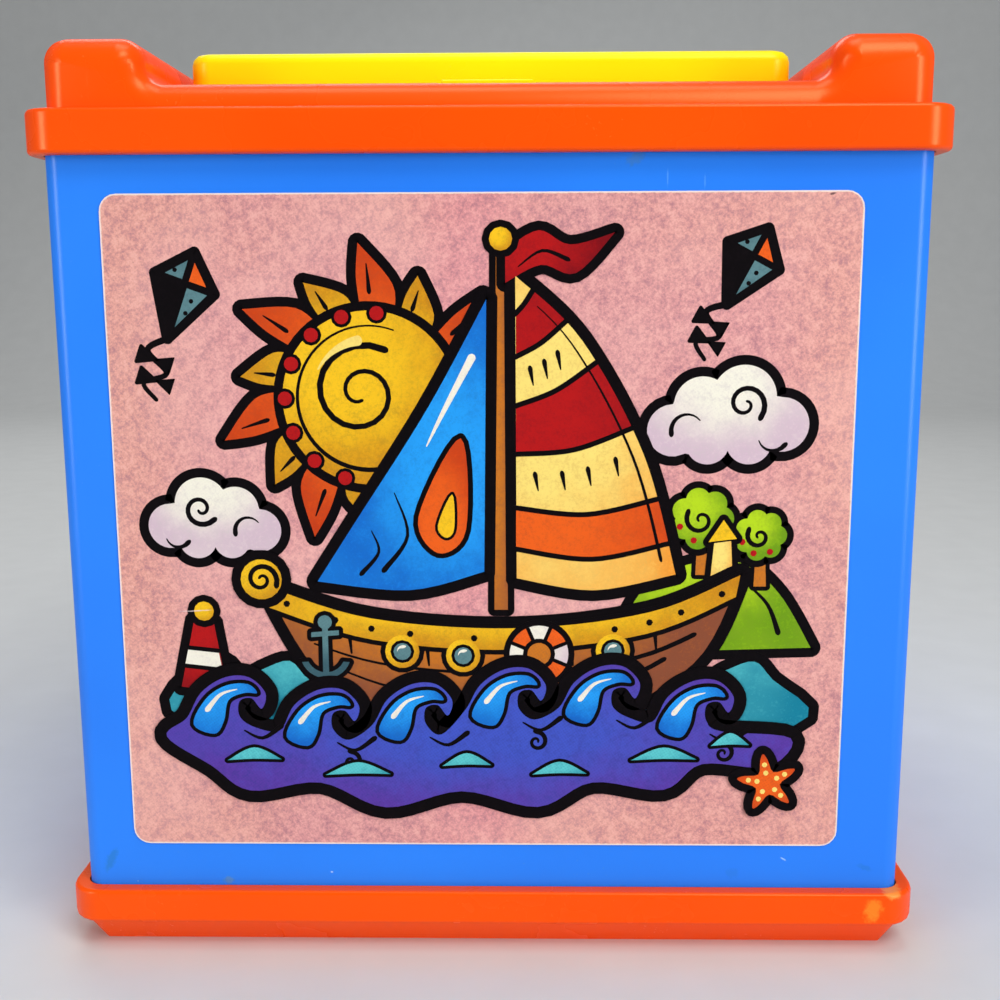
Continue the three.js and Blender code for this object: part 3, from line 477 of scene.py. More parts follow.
@dataclass(frozen=True)
class LabelPaper(Finish):
    """Varnished label paper: warm pink ground, peach towards the edges, and a pale cut edge."""

    centre: Vector
    half: tuple[float, float]
    corner: float = 3 * MM
    ground: Colour = srgb(222, 157, 155)
    edge: Colour = srgb(226, 162, 146)
    heart: Colour = srgb(226, 138, 150)
    speck: Colour = srgb(166, 112, 126)
    pale: Colour = srgb(244, 192, 184)
    cut: Colour = srgb(240, 222, 210)

    def surface(self, graph: Graph, place: Wire) -> dict[str, Value]:
        """Return the shader's values."""
        across, _, up = graph.parts(graph.vector("SUBTRACT", place, self.centre))
        inside = self.distance_to_edge(graph, (across, up))
        peach = graph.step(inside, 22 * MM, 0.0, 0.0, 0.85) * graph.step(graph.noise(place, 22), 0.3, 0.62)
        heart = graph.step(abs(across), 16 * MM, 0.0) * 0.4
        printed = mottled_print(
            graph,
            place=place,
            colour=graph.mix(heart, graph.mix(peach, self.ground, self.edge), self.heart),
            speck_colour=self.speck,
            pale_colour=self.pale,
            specks=0.78,
            fade=0.26,
            screen=0.12,
        )
        ragged = inside + graph.noise(place, 1800) * (0.22 * MM)
        colour = graph.mix(graph.step(ragged, 0.46 * MM, 0.28 * MM), printed["colour"], self.cut)
        for mark in (LABEL_NICK, LABEL_SCRATCH):
            colour = mark.over(graph, place, colour)
        return {
            "Base Color": colour,
            "Roughness": graph.noise(place, 300) * 0.16 + 0.46,
            "Specular IOR Level": 0.2,
            "Normal": graph.relief(graph.noise(place, 900, 3, 0.6), 0.02 * MM),
        }

    def distance_to_edge(self, graph: Graph, local: tuple[Wire, Wire]) -> Wire:
        """Return how far inside the rounded outline a point lies, in metres.

        Args:
            graph: The finish's nodes.
            local: How far across and up from the label's middle the point lies.

        Returns:
            The distance.
        """
        over = [abs(part) - (half - self.corner) for part, half in zip(local, self.half)]
        corner = [graph.math("POWER", graph.math("MAXIMUM", part, 0.0), 2.0) for part in over]
        flat = graph.math("MINIMUM", graph.math("MAXIMUM", *over), 0.0)
        return self.corner - (graph.math("SQRT", corner[0] + corner[1]) + flat)


@dataclass(frozen=True)
class Ink(Finish):
    """One printed colour, with the darker tone that it is airbrushed towards as its map leads outwards."""

    colour: Colour
    shade: Colour
    speck: Colour
    specks: float = 0.4
    screen: float = 0.18

    def surface(self, graph: Graph, place: Wire) -> dict[str, Value]:
        """Return the shader's values."""
        tone = graph.vector("LENGTH", graph.map("tone")) + graph.noise(place, 260, 3) * 0.36
        printed = mottled_print(
            graph,
            place=place,
            colour=graph.mix(graph.step(tone, 0.42, 1.2), self.colour, self.shade),
            speck_colour=self.speck,
            pale_colour=self.colour,
            specks=self.specks,
            fade=0.25,
            screen=self.screen,
        )
        return {
            "Base Color": LABEL_SCRATCH.over(graph, place, printed["colour"]),
            "Roughness": 0.46,
            "Specular IOR Level": 0.06,
            "Normal": graph.relief(graph.noise(place, 900, 3, 0.6), 0.02 * MM),
        }


class Inks(Enum):
    """The inks of the label's picture."""

    BLACK = Ink("ink_black", srgb(8, 5, 8), srgb(8, 5, 8), srgb(24, 15, 20), 0.3, 0.0)
    GOLD = Ink("ink_gold", srgb(242, 192, 34), srgb(196, 128, 26), srgb(150, 120, 40))
    CREAM = Ink("ink_cream", srgb(244, 218, 118), srgb(236, 146, 44), srgb(206, 160, 84))
    ORANGE = Ink("ink_orange", srgb(232, 96, 30), srgb(190, 56, 22), srgb(170, 70, 40))
    RED = Ink("ink_red", srgb(178, 24, 26), srgb(112, 12, 22), srgb(110, 20, 30))
    BROWN = Ink("ink_brown", srgb(198, 116, 36), srgb(134, 74, 52), srgb(134, 82, 56))
    BLUE = Ink("ink_violet_blue", srgb(66, 86, 194), srgb(92, 56, 158), srgb(50, 56, 130))
    CYAN = Ink("ink_cyan", srgb(38, 156, 240), srgb(18, 92, 190), srgb(30, 100, 180))
    LIME = Ink("ink_lime", srgb(178, 212, 34), srgb(104, 150, 24), srgb(120, 150, 40))
    TEAL = Ink("ink_teal", srgb(92, 196, 200), srgb(18, 122, 150), srgb(40, 130, 150))
    SLATE = Ink("ink_slate", srgb(92, 130, 136), srgb(52, 84, 96), srgb(60, 90, 100))
    WHITE = Ink("ink_white", srgb(238, 234, 218), srgb(206, 180, 196), srgb(200, 190, 190))


@dataclass(frozen=True)
class Fabric(Finish):
    """What cloth and felt share: their three colours and their soft, dull surface."""

    colour: Colour
    shade: Colour
    faded: Colour

    def soft(self, graph: Graph, effect: dict[str, Wire], feel: Sequence[float], relief: float) -> dict[str, Value]:
        """Return the shader's values from an effect and four of its sockets' values.

        Args:
            graph: The finish's nodes.
            effect: The effect's colour and height.
            feel: Its roughness, sheen, sheen roughness and specular level.
            relief: How high its threads or fibres stand.

        Returns:
            Each socket's value or wire, by its name.
        """
        names = ("Roughness", "Sheen Weight", "Sheen Roughness", "Specular IOR Level")
        normal = graph.relief(effect["height"], relief, 0.8)
        return {"Base Color": effect["colour"], "Normal": normal, **dict(zip(names, feel))}

    def colours(self) -> dict[str, Colour]:
        """Return the colours by the effects' names for them."""
        return {"colour": self.colour, "shade_colour": self.shade, "faded_colour": self.faded}


@dataclass(frozen=True)
class WovenCloth(Fabric):
    """Plain-woven cotton."""

    threads: float = 1500.0
    sheen: float = 0.35

    def surface(self, graph: Graph, place: Wire) -> dict[str, Value]:
        """Return the shader's values."""
        cloth = {"place": place, "cloth_place": graph.map("cloth"), "threads": self.threads}
        weave = woven_cloth(graph, **cloth, **self.colours())
        return self.soft(graph, weave, (0.88, self.sheen, 0.45, 0.25), 0.12 * MM)


@dataclass(frozen=True)
class Felt(Fabric):
    """Soft felt or brushed cotton, whose look needs no map."""

    def surface(self, graph: Graph, place: Wire) -> dict[str, Value]:
        """Return the shader's values."""
        felt = matted_fibres(graph, place=place, **self.colours())
        return self.soft(graph, felt, (0.92, 0.5, 0.5, 0.2), 0.16 * MM)


@dataclass(frozen=True)
class DrawnMetal(Finish):
    """Drawn or polished metal with fine marks."""

    colour: Colour
    dull: Colour
    roughness: float = 0.24

    def surface(self, graph: Graph, place: Wire) -> dict[str, Value]:
        """Return the shader's values."""
        marks = graph.noise(graph.stretched(place, (900, 900, 120)), 1.0, 4, 0.65)
        tarnish = graph.step(graph.noise(place, 220, 3), 0.5, 0.74)
        return {
            "Base Color": graph.mix(tarnish, self.colour, self.dull),
            "Roughness": marks * 0.2 + self.roughness,
            "Metallic": 1.0,
            "Normal": graph.relief(marks, 0.02 * MM),
        }


@dataclass(frozen=True)
class FacePaint(Finish):
    """Vinyl with airbrushed cheeks and a white mouth patch."""

    cheeks: tuple[Vector, Vector]
    mouth: Vector
    cheek_reach: float = 7.6 * MM
    mouth_half: Point = (11.8 * MM, 4.6 * MM)
    mouth_front: float = 14 * MM
    smile_bend: float = 34.0
    vinyl: Colour = srgb(246, 198, 160)
    blush: Colour = srgb(236, 110, 104)
    white: Colour = srgb(246, 240, 230)
    worn: Colour = srgb(214, 160, 132)

    def surface(self, graph: Graph, place: Wire) -> dict[str, Value]:
        """Return the shader's values."""
        colour: Value = self.vinyl
        for centre in self.cheeks:
            away = graph.vector("DISTANCE", place, centre)
            colour = graph.mix(graph.step(away, self.cheek_reach, 0.0, 0.0, 0.85), colour, self.blush)
        across, deep, up = graph.parts(graph.vector("SUBTRACT", place, self.mouth))
        upright = up - across * across * self.smile_bend
        shares = graph.xyz(across / self.mouth_half[0], 0.0, upright / self.mouth_half[1])
        patch = graph.step(graph.vector("LENGTH", shares), 1.03, 0.97)
        colour = graph.mix(patch * graph.math("LESS_THAN", deep, self.mouth_front), colour, self.white)
        paint = {"colour": colour, "drift_colour": colour, "drift": 0.0, "wear": 0.12, "wear_colour": self.worn}
        skin = moulded_skin(graph, place=place, roughness=0.42, **paint)
        normal = graph.relief(skin["height"], 0.04 * MM)
        return {"Base Color": skin["colour"], "Roughness": skin["roughness"], "Normal": normal}


@dataclass(frozen=True)
class EyePaint(Finish):
    """A painted eye: white, blue iris, black pupil and a white spark, laid out on the piece's own map."""

    white: Colour = srgb(244, 242, 236)
    iris: Colour = srgb(36, 112, 206)
    iris_edge: Colour = srgb(14, 44, 110)
    pupil: Colour = srgb(12, 12, 16)

    def surface(self, graph: Graph, place: Wire) -> dict[str, Value]:
        """Return the shader's values."""
        spot = graph.map("eye")
        away = graph.vector("DISTANCE", spot, (0.0, -0.22, 0.0))
        threads = graph.noise(graph.stretched(spot, (9, 9, 1)), 2.0, 4, 0.7)
        iris = graph.mix(threads, self.iris, self.iris_edge)
        colour: Value = self.white
        for outer, inner, paint in ((0.6, 0.56, self.iris_edge), (0.54, 0.48, iris), (0.33, 0.3, self.pupil)):
            colour = graph.mix(graph.step(away, outer, inner), colour, paint)
        spark = graph.vector("DISTANCE", spot, (0.18, 0.04, 0.0))
        colour = graph.mix(graph.step(spark, 0.13, 0.1), colour, self.white)
        return {"Base Color": colour, "Roughness": 0.12, "Coat Weight": 0.4}


ORANGE_PLASTIC = MouldedPlastic(
    "orange_plastic",
    srgb(255, 82, 0),
    srgb(255, 70, 0),
    srgb(226, 120, 62),
    drift=0.5,
    wear=0.2,
    roughness=0.22,
    shine=0.45,
    glint=(1.0, 0.7, 0.3, 1.0),
    marks=(
        # Painted highlights: two pale spots that stand in for lamp reflections on the base's rounded right corner.
        Mark(70.6, 8.9, 4.2, 5.6, -8, srgb(255, 144, 40), 0.7),
        Mark(74.3, 12.0, 4.4, 2.6, -12, srgb(255, 158, 70), 0.7),
    ),
)
BLUE_PLASTIC = MouldedPlastic(
    "blue_plastic",
    srgb(38, 132, 252),
    srgb(34, 122, 242),
    srgb(92, 150, 226),
    drift=0.7,
    wear=0.2,
    roughness=0.26,
    shine=0.28,
    marks=(
        Mark(25.2, 143.8, 4.4, 2.4, 35, srgb(66, 126, 196), 0.55),
        Mark(30.6, 140.5, 0.35, 3.6, 0, srgb(96, 168, 255), 0.6),
        Mark(36.9, 139.8, 0.35, 3.2, 0, srgb(96, 168, 255), 0.45),
        Mark(-71.0, 17.0, 2.2, 6.0, -25, srgb(34, 122, 206), 0.7),
        Mark(-49.1, 12.9, 2.6, 1.8, 0, srgb(84, 138, 188), 0.7),
        Mark(-29.7, 14.6, 0.6, 0.4, 0, srgb(190, 214, 250)),
        Mark(-66.3, 12.6, 0.4, 0.3, 0, srgb(150, 190, 250)),
        Mark(54.4, 17.6, 1.3, 0.35, -30, srgb(170, 208, 255)),
        Mark(69.6, 15.9, 3.6, 1.4, -20, srgb(30, 118, 222), 0.7),
        Mark(45.0, 14.7, 3.0, 2.4, 0, srgb(34, 122, 232), 0.6),
    ),
)
YELLOW_PLASTIC = MouldedPlastic(
    "yellow_plastic",
    srgb(255, 240, 4),
    srgb(255, 228, 0),
    srgb(226, 204, 90),
    wear=0.25,
    roughness=0.24,
    shine=0.35,
    glint=(1.0, 0.95, 0.4, 1.0),
)
WHITE_PLASTIC = MouldedPlastic(
    "white_plastic", srgb(238, 234, 222), srgb(228, 222, 206), srgb(190, 184, 170), roughness=0.3
)
RED_PLASTIC = MouldedPlastic(
    "red_plastic", srgb(214, 34, 26), srgb(190, 24, 20), srgb(230, 120, 100), roughness=0.18, shine=0.5
)
BLACK_PAINT = MouldedPlastic("black_paint", srgb(22, 18, 20), srgb(30, 24, 24), srgb(70, 60, 58), roughness=0.35)
STEEL = DrawnMetal("steel", srgb(196, 198, 202), srgb(158, 160, 164))
BRASS = DrawnMetal("brass", srgb(232, 186, 84), srgb(196, 148, 66), 0.18)
RED_CLOTH = WovenCloth("red_cloth", srgb(206, 36, 30), srgb(148, 18, 20), srgb(222, 92, 76))
BLUE_CLOTH = WovenCloth("blue_cloth", srgb(34, 104, 206), srgb(16, 62, 150), srgb(84, 140, 214))
YELLOW_CLOTH = WovenCloth("yellow_cloth", srgb(246, 204, 36), srgb(206, 156, 18), srgb(250, 220, 110))
WHITE_CLOTH = WovenCloth("white_cloth", srgb(240, 236, 224), srgb(206, 200, 186), srgb(224, 214, 190))
BLUE_FELT = Felt("blue_felt", srgb(38, 106, 208), srgb(20, 68, 156), srgb(84, 140, 214))
YELLOW_FELT = Felt("yellow_felt", srgb(248, 206, 40), srgb(212, 160, 20), srgb(250, 222, 112))
WHITE_FELT = Felt("white_felt", srgb(242, 238, 228), srgb(212, 206, 192), srgb(226, 218, 196))
THREAD = WovenCloth("thread", srgb(244, 238, 220), srgb(206, 198, 176), srgb(230, 220, 196), 4200.0, 0.2)
YARN = WovenCloth("orange_yarn", srgb(232, 104, 24), srgb(176, 64, 12), srgb(240, 140, 70), 2600.0, 0.5)
EYE_PAINT = EyePaint("eye_paint")


def link_object(name: str, data: bpy.types.ID) -> bpy.types.Object:
    """Put data in the scene and return its object.

    Args:
        name: The object's name.
        data: Its mesh, light or camera.

    Returns:
        The new object.
    """
    made = bpy.data.objects.new(name, data)
    bpy.context.scene.collection.objects.link(made)
    return made


def add_piece(name: str, mesh: bpy.types.Mesh, body: str, slot: str, *nodes: str) -> bpy.types.Object:
    """Put a mesh in the scene as a piece that rides on a body.

    Args:
        name: The piece's name.
        mesh: Its mesh, already in place.
        body: The body that it moves with.
        slot: The record's material slot; not used.
        *nodes: The CAD nodes that it stands for.

    Returns:
        The new object.
    """
    piece = link_object(name, mesh)
    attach(piece, body)
    if nodes:
        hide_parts(*nodes)
    log.info("%s: %d faces, on %s", name, len(mesh.polygons), body)
    return piece


def dress(node: str, finish: Finish) -> None:
    """Give a CAD node a finish.

    Args:
        node: The CAD node.
        finish: Its finish.
    """
    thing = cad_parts[node]
    for slot in thing.material_slots:
        slot.material = finish.material
    if not thing.material_slots:
        thing.data.materials.append(finish.material)


def taken_mesh(draft: bpy.types.Object) -> bpy.types.Mesh:
    """Return a draft's mesh with its modifiers applied, and remove the draft.

    Args:
        draft: The object that carries the modifiers.

    Returns:
        The plain mesh.
    """
    graph = bpy.context.evaluated_depsgraph_get()
    mesh = bpy.data.meshes.new_from_object(draft.evaluated_get(graph))
    draft.modifiers.clear()
    bpy.data.objects.remove(draft)
    return mesh


def modified(mesh: bpy.types.Mesh, *steps: tuple[str, dict[str, object]]) -> bpy.types.Mesh:
    """Return a mesh with modifiers applied, each given by its kind and its settings.

    Args:
        mesh: The mesh to change.
        *steps: Each modifier's kind and settings.

    Returns:
        The new mesh.
    """
    draft = link_object("draft", mesh)
    for kind, settings in steps:
        modifier = draft.modifiers.new(kind.lower(), kind)
        for name, setting in settings.items():
            setattr(modifier, name, setting)
    return taken_mesh(draft)


def shade_smooth(mesh: bpy.types.Mesh) -> bpy.types.Mesh:
    """Return a mesh with every face shaded smooth."""
    mesh.polygons.foreach_set("use_smooth", [True] * len(mesh.polygons))
    return mesh


def new_mesh(name: str, form: bmesh.types.BMesh, *materials: bpy.types.Material) -> bpy.types.Mesh:
    """Return a form as a mesh with materials.

    Args:
        name: The mesh's name.
        form: The form, which is freed.
        *materials: Its materials.

    Returns:
        The new mesh.
    """
    mesh = bpy.data.meshes.new(name)
    form.to_mesh(mesh)
    form.free()
    for material in materials:
        mesh.materials.append(material)
    return mesh


def node_copy(node: str, finish: Finish, flattened: bool = False) -> bpy.types.Mesh:
    """Return a copy of a CAD node in a finish, its loose triangles merged, and its flat faces too if wanted.

    Args:
        node: The CAD node.
        finish: The copy's finish.
        flattened: Whether triangles in one plane are merged too.

    Returns:
        The copy.
    """
    form = bmesh.new()
    form.from_mesh(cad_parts[node].data)
    bmesh.ops.remove_doubles(form, verts=form.verts, dist=1e-6)
    if flattened:
        bmesh.ops.dissolve_limit(form, angle_limit=math.radians(1), verts=form.verts, edges=form.edges)
        bmesh.ops.triangulate(form, faces=[face for face in form.faces if len(face.verts) > 24])
    return shade_smooth(new_mesh(node + "_copy", form, finish.material))


def fused(name: str, source: bpy.types.Mesh, voxel: float, rounds: int) -> bpy.types.Mesh:
    """Return a mesh fused into one soft skin.

    Args:
        name: The new mesh's name.
        source: Closed bodies that may overlap.
        voxel: The size of the grid that fuses them.
        rounds: How many times it is smoothed.

    Returns:
        The new mesh.
    """
    fuse = ("REMESH", {"mode": "VOXEL", "voxel_size": voxel})
    soften = ("SMOOTH", {"factor": 0.5, "iterations": rounds})
    made = modified(source, fuse, soften)
    made.name = name
    return shade_smooth(made)


def carved(mesh: bpy.types.Mesh, boxes: Sequence[tuple[Vector, Vector]]) -> bpy.types.Mesh:
    """Return a mesh with boxes cut out of it, each given by its middle and its half size.

    Args:
        mesh: The mesh to cut.
        boxes: Each box's middle and half size.

    Returns:
        The new mesh.
    """
    cutters = []
    for middle, half in boxes:
        form = bmesh.new()
        place = Matrix.Translation(middle) @ Matrix.Diagonal((*(2 * half), 1))
        bmesh.ops.create_cube(form, size=1.0, matrix=place)
        cutters.append(link_object("carving_box", new_mesh("carving_box", form)))
    cut = {"operation": "DIFFERENCE", "solver": "EXACT"}
    made = modified(mesh, *(("BOOLEAN", {**cut, "object": cutter}) for cutter in cutters))
    for cutter in cutters:
        bpy.data.objects.remove(cutter)
    return made


def join_meshes(name: str, meshes: Sequence[bpy.types.Mesh]) -> bpy.types.Mesh:
    """Return one mesh made of several, with their materials kept.

    Args:
        name: The new mesh's name.
        meshes: The meshes to join.

    Returns:
        The new mesh.
    """
    form = bmesh.new()
    materials: list[bpy.types.Material] = []
    for mesh in meshes:
        first = len(form.faces)
        form.from_mesh(mesh)
        form.faces.ensure_lookup_table()
        materials += [material for material in mesh.materials if material not in materials]
        for face in form.faces[first:]:
            face.material_index = materials.index(mesh.materials[face.material_index])
    return new_mesh(name, form, *materials)


def press(mesh: bpy.types.Mesh, move: Callable[[Vector], float]) -> bpy.types.Mesh:
    """Return a mesh whose points are moved along their normals by a distance that depends on their place.

    Args:
        mesh: The mesh to change.
        move: Gives a point's way along its normal.

    Returns:
        The same mesh.
    """
    moved = [v.co + v.normal * move(v.co) for v in mesh.vertices]
    for vertex, spot in zip(mesh.vertices, moved):
        vertex.co = spot
    mesh.update()
    return mesh


def shares(count: int) -> list[float]:
    """Return evenly spaced shares from 0 to 1."""
    return [i / count for i in range(count + 1)]


def turns(count: int) -> list[float]:
    """Return evenly spaced angles all the way round."""
    return [2 * math.pi * k / count for k in range(count)]


def polar(turn: float, out: float = 1.0, z: float = 0.0) -> Vector:
    """Return the point at an angle round the upright axis, a distance from it and a height."""
    return Vector((out * math.cos(turn), out * math.sin(turn), z))


def rings_of(rows: Iterable, sides: int, place: Callable[..., Vector]) -> Rings:
    """Return rings of points, each placed by what its row says and by its angle."""
    return [[place(row, turn) for turn in turns(sides)] for row in rows]


def globe(rows: int, sides: int, place: Callable[[float, float], Vector]) -> Rings:
    """Return the rings of a ball-like form, each point placed by its angle up from the foot and its turn."""
    return rings_of((math.pi * r / rows for r in range(1, rows)), sides, place)


def lathed(profile: Iterable[Point], sides: int, centre: Vector = Vector()) -> Rings:
    """Return the rings of a turned form from the radius and height of each."""
    return rings_of(profile, sides, lambda row, turn: centre + polar(turn, *row))


def oval(spot: Vector, first: Vector, second: Vector, wide: float, tall: float, sides: int) -> list[Vector]:
    """Return an oval ring round a point, between two directions."""
    return [spot + first * wide * math.cos(t) + second * tall * math.sin(t) for t in turns(sides)]


def rolled_edge(
    line: Sequence[Vector], outward: Callable[[Vector], Vector], half: Callable[[int], Point], sides: int
) -> Rings:
    """Return the oval sections of a roll of cloth along a closed line.

    Args:
        line: The line's points.
        outward: Gives the way out at a point.
        half: Gives a section's half width and half height by its number.
        sides: How many points each section has.

    Returns:
        The sections.
    """
    rings = []
    for i, spot in enumerate(line):
        ahead = (line[(i + 1) % len(line)] - line[i - 1]).normalized()
        out = outward(spot)
        rings.append(oval(spot, out, out.cross(ahead).normalized(), *half(i), sides))
    return rings


def swept(path: Sequence[Vector], radius: Callable[[float, float], float], sides: int) -> Rings:
    """Return the rings of a tube along a path.

    Args:
        path: Its middle line.
        radius: The radius at a share of the length and at an angle round it.
        sides: How many points each ring has.

    Returns:
        The rings.
    """
    last = len(path) - 1
    side = (path[1] - path[0]).normalized().orthogonal().normalized()
    rings = []
    for i, spot in enumerate(path):
        ahead = (path[min(i + 1, last)] - path[max(i - 1, 0)]).normalized()
        side = (side - ahead * side.dot(ahead)).normalized()
        other = ahead.cross(side)
        spokes = ((side * math.cos(t) + other * math.sin(t)) * radius(i / last, t) for t in turns(sides))
        rings.append([spot + spoke for spoke in spokes])
    return rings


def skin(name: str, rings: Rings, finish: Finish, looped: bool = False) -> bpy.types.Mesh:
    """Return a closed skin through rings of points, with a cloth map in metres.

    Args:
        name: The mesh's name.
        rings: Rings with the same number of points.
        finish: Its finish.
        looped: Whether the last ring joins the first; otherwise both ends are closed.

    Returns:
        The mesh.
    """
    count = len(rings[0])
    form = bmesh.new()
    verts = [[form.verts.new(p) for p in ring] for ring in rings]
    cloth = form.loops.layers.uv.new("cloth")
    widest = max(sum((ring[i] - ring[i - 1]).length for i in range(count)) for ring in rings)
    along = [0.0]
    for near, far in zip(rings, rings[1:] + rings[:1]):
        along.append(along[-1] + sum((a - b).length for a, b in zip(near, far)) / count)
    for r in range(len(rings) if looped else len(rings) - 1):
        near, far = verts[r], verts[(r + 1) % len(rings)]
        for i in range(count):
            j = (i + 1) % count
            face = form.faces.new((near[i], near[j], far[j], far[i]))
            for loop, (across, up) in zip(face.loops, ((i, r), (i + 1, r), (i + 1, r + 1), (i, r + 1))):
                loop[cloth].uv = (across / count * widest, along[up])
    for ring in () if looped else (verts[0], verts[-1]):
        hub = form.verts.new(sum((v.co for v in ring), Vector()) / count)
        for i in range(count):
            for loop in form.faces.new((ring[i], ring[(i + 1) % count], hub)).loops:
                loop[cloth].uv = loop.vert.co.xy
    bmesh.ops.recalc_face_normals(form, faces=form.faces)
    return shade_smooth(new_mesh(name, form, finish.material))


def ball(centre: Vector, size: Vector, finish: Finish, rows: int) -> bpy.types.Mesh:
    """Return an ellipsoid with its cloth map.

    Args:
        centre: Its middle.
        size: Its half size.
        finish: Its finish.
        rows: How many rows of faces it has.

    Returns:
        The mesh.
    """

    def place(up: float, turn: float) -> Vector:
        """Return a point of the ellipsoid."""
        across, deep = (math.sin(up) * way(turn) for way in (math.cos, math.sin))
        return centre + Vector((across * size.x, deep * size.y, -math.cos(up) * size.z))

    return skin("ball", globe(rows, 2 * rows, place), finish)


def smooth_path(points: Sequence[Sequence[float]], steps: int = 6, closed: bool = False) -> list[Vector]:
    """Return a smooth line through points.

    Args:
        points: The points that it passes.
        steps: How many pieces each span is cut into.
        closed: Whether it comes back to its start.

    Returns:
        The points of the smooth line.
    """
    spots = [Vector(p) for p in points]
    count = len(spots)
    line = []
    for i in range(count if closed else count - 1):
        near = ((i + k) % count if closed else min(max(i + k, 0), count - 1) for k in (-1, 0, 1, 2))
        before, start, end, after = (spots[k] for k in near)
        bend = 2 * before - 5 * start + 4 * end - after
        twist = 3 * start - before - 3 * end + after
        for t in shares(steps)[:-1]:
            line.append((2 * start + (end - before) * t + bend * t**2 + twist * t**3) / 2)
    return line if closed else [*line, spots[-1]]


def round_profile(share: float, ends: float = 0.08) -> float:
    """Return how full a round-ended bar is at a share of its length."""
    edge = min(share, 1 - share) / ends
    return math.sqrt(max(1 - (1 - min(edge, 1.0)) ** 2, 0.0004))


def ripple(spot: Vector, scale: float) -> float:
    """Return smooth noise from -1 to 1 at a place."""
    return noise.noise(spot * scale)


def hill(spot: Vector, centre: Vector, reach: float) -> float:
    """Return the height of a smooth hill: 1 at its centre, 0 from its reach outwards."""
    share = min((spot - centre).length / reach, 1.0)
    return (1 - share * share) ** 2


class NodeShape:
    """A shape that a Geometry Nodes tree makes from named inputs, turned into a plain mesh."""

    def __init__(self, name: str, **sizes: float) -> None:
        """Make a tree whose inputs are a path and named sizes.

        Args:
            name: The tree's name.
            **sizes: Each named input's value, whose kind is the input's kind.
        """
        self.name = name
        self.tree = bpy.data.node_groups.new(name, "GeometryNodeTree")
        socket = self.tree.interface.new_socket
        socket("path", in_out="INPUT", socket_type="NodeSocketGeometry")
        socket("shape", in_out="OUTPUT", socket_type="NodeSocketGeometry")
        self.values = {}
        for label, size in sizes.items():
            kind = "NodeSocketInt" if isinstance(size, int) else "NodeSocketFloat"
            self.values[socket(label, in_out="INPUT", socket_type=kind).identifier] = size
        self.graph = Graph(self.tree)
        self.given = self.graph.named("NodeGroupInput")

    def finish(self, shape: Wire, finish: Finish, path: Sequence[Sequence[Vector]] = ()) -> bpy.types.Mesh:
        """Run the tree.

        Args:
            shape: The finished geometry.
            finish: The finish of every face.
            path: The lines that the tree works along, where it needs them.

        Returns:
            The plain mesh.
        """
        real = self.graph.add("GeometryNodeRealizeInstances", {0: shape})
        dressed = self.graph.add("GeometryNodeSetMaterial", {"Geometry": real, "Material": finish.material})
        self.graph.node("NodeGroupOutput", {0: dressed})
        edges, points = [], []
        for line in path:
            edges += [(len(points) + i, len(points) + i + 1) for i in range(len(line) - 1)]
            points += line
        lines = bpy.data.meshes.new(self.name + "_path")
        lines.from_pydata(points, edges, [])
        carrier = link_object(self.name + "_carrier", lines)
        modifier = carrier.modifiers.new(self.name, "NODES")
        modifier.node_group = self.tree
        for identifier, value in self.values.items():
            modifier[identifier] = value
        return taken_mesh(carrier)


def stitches(
    name: str, lines: Sequence[Sequence[Vector]], finish: Finish, pitch: float, half_width: float
) -> bpy.types.Mesh:
    """Return a row of stitches along each line.

    Args:
        name: The tree's name.
        lines: The lines that the stitches follow.
        finish: The thread's finish.
        pitch: From one stitch to the next.
        half_width: Half of the thread's width.

    Returns:
        The mesh.
    """
    shape = NodeShape(name, pitch=pitch, half_width=half_width)
    graph, given = shape.graph, shape.given
    curve = graph.add("GeometryNodeMeshToCurve", {0: given["path"]})
    spots = graph.named("GeometryNodeCurveToPoints", {"Curve": curve, "Length": given["pitch"]}, mode="LENGTH")
    bead = graph.add("GeometryNodeMeshUVSphere", {"Segments": 8, "Rings": 6, "Radius": 1.0})
    size = graph.xyz(given["half_width"], given["half_width"], given["pitch"] * 0.36)
    thread = graph.add("GeometryNodeTransform", {"Geometry": bead, "Scale": size})
    spread = {"Points": spots["Points"], "Instance": thread, "Rotation": spots["Rotation"]}
    return shade_smooth(shape.finish(graph.add("GeometryNodeInstanceOnPoints", spread), finish, lines))


def arc(x: float, y: float, radius: float, start: float, end: float, steps: int) -> list[Point]:
    """Return points on an arc, in degrees anticlockwise from the right."""
    return [spoke(x, y, radius, start + (end - start) * i / steps) for i in range(steps + 1)]


def spoke(x: float, y: float, radius: float, turn: float) -> Point:
    """Return the point at a radius and an angle in degrees from a centre."""
    return (x + radius * math.cos(math.radians(turn)), y + radius * math.sin(math.radians(turn)))


def flowing(points: Sequence[Point], closed: bool = False, steps: int = 8) -> list[Point]:
    """Return a smooth line through points of the label's picture."""
    return [(spot.x, spot.y) for spot in smooth_path(points, steps, closed)]


def runs_left(outline: Sequence[Point]) -> bool:
    """Return whether an outline runs anticlockwise."""
    return sum(a[0] * b[1] - b[0] * a[1] for a, b in zip(outline, [*outline[1:], outline[0]])) > 0


def anticlockwise(outline: Sequence[Point]) -> list[Point]:
    """Return an outline's points in anticlockwise order."""
    return list(outline) if runs_left(outline) else list(reversed(outline))


def moved(x: float, y: float, points: Iterable[Point]) -> list[Point]:
    """Return points moved across and up."""
    return [(x + px, y + py) for px, py in points]


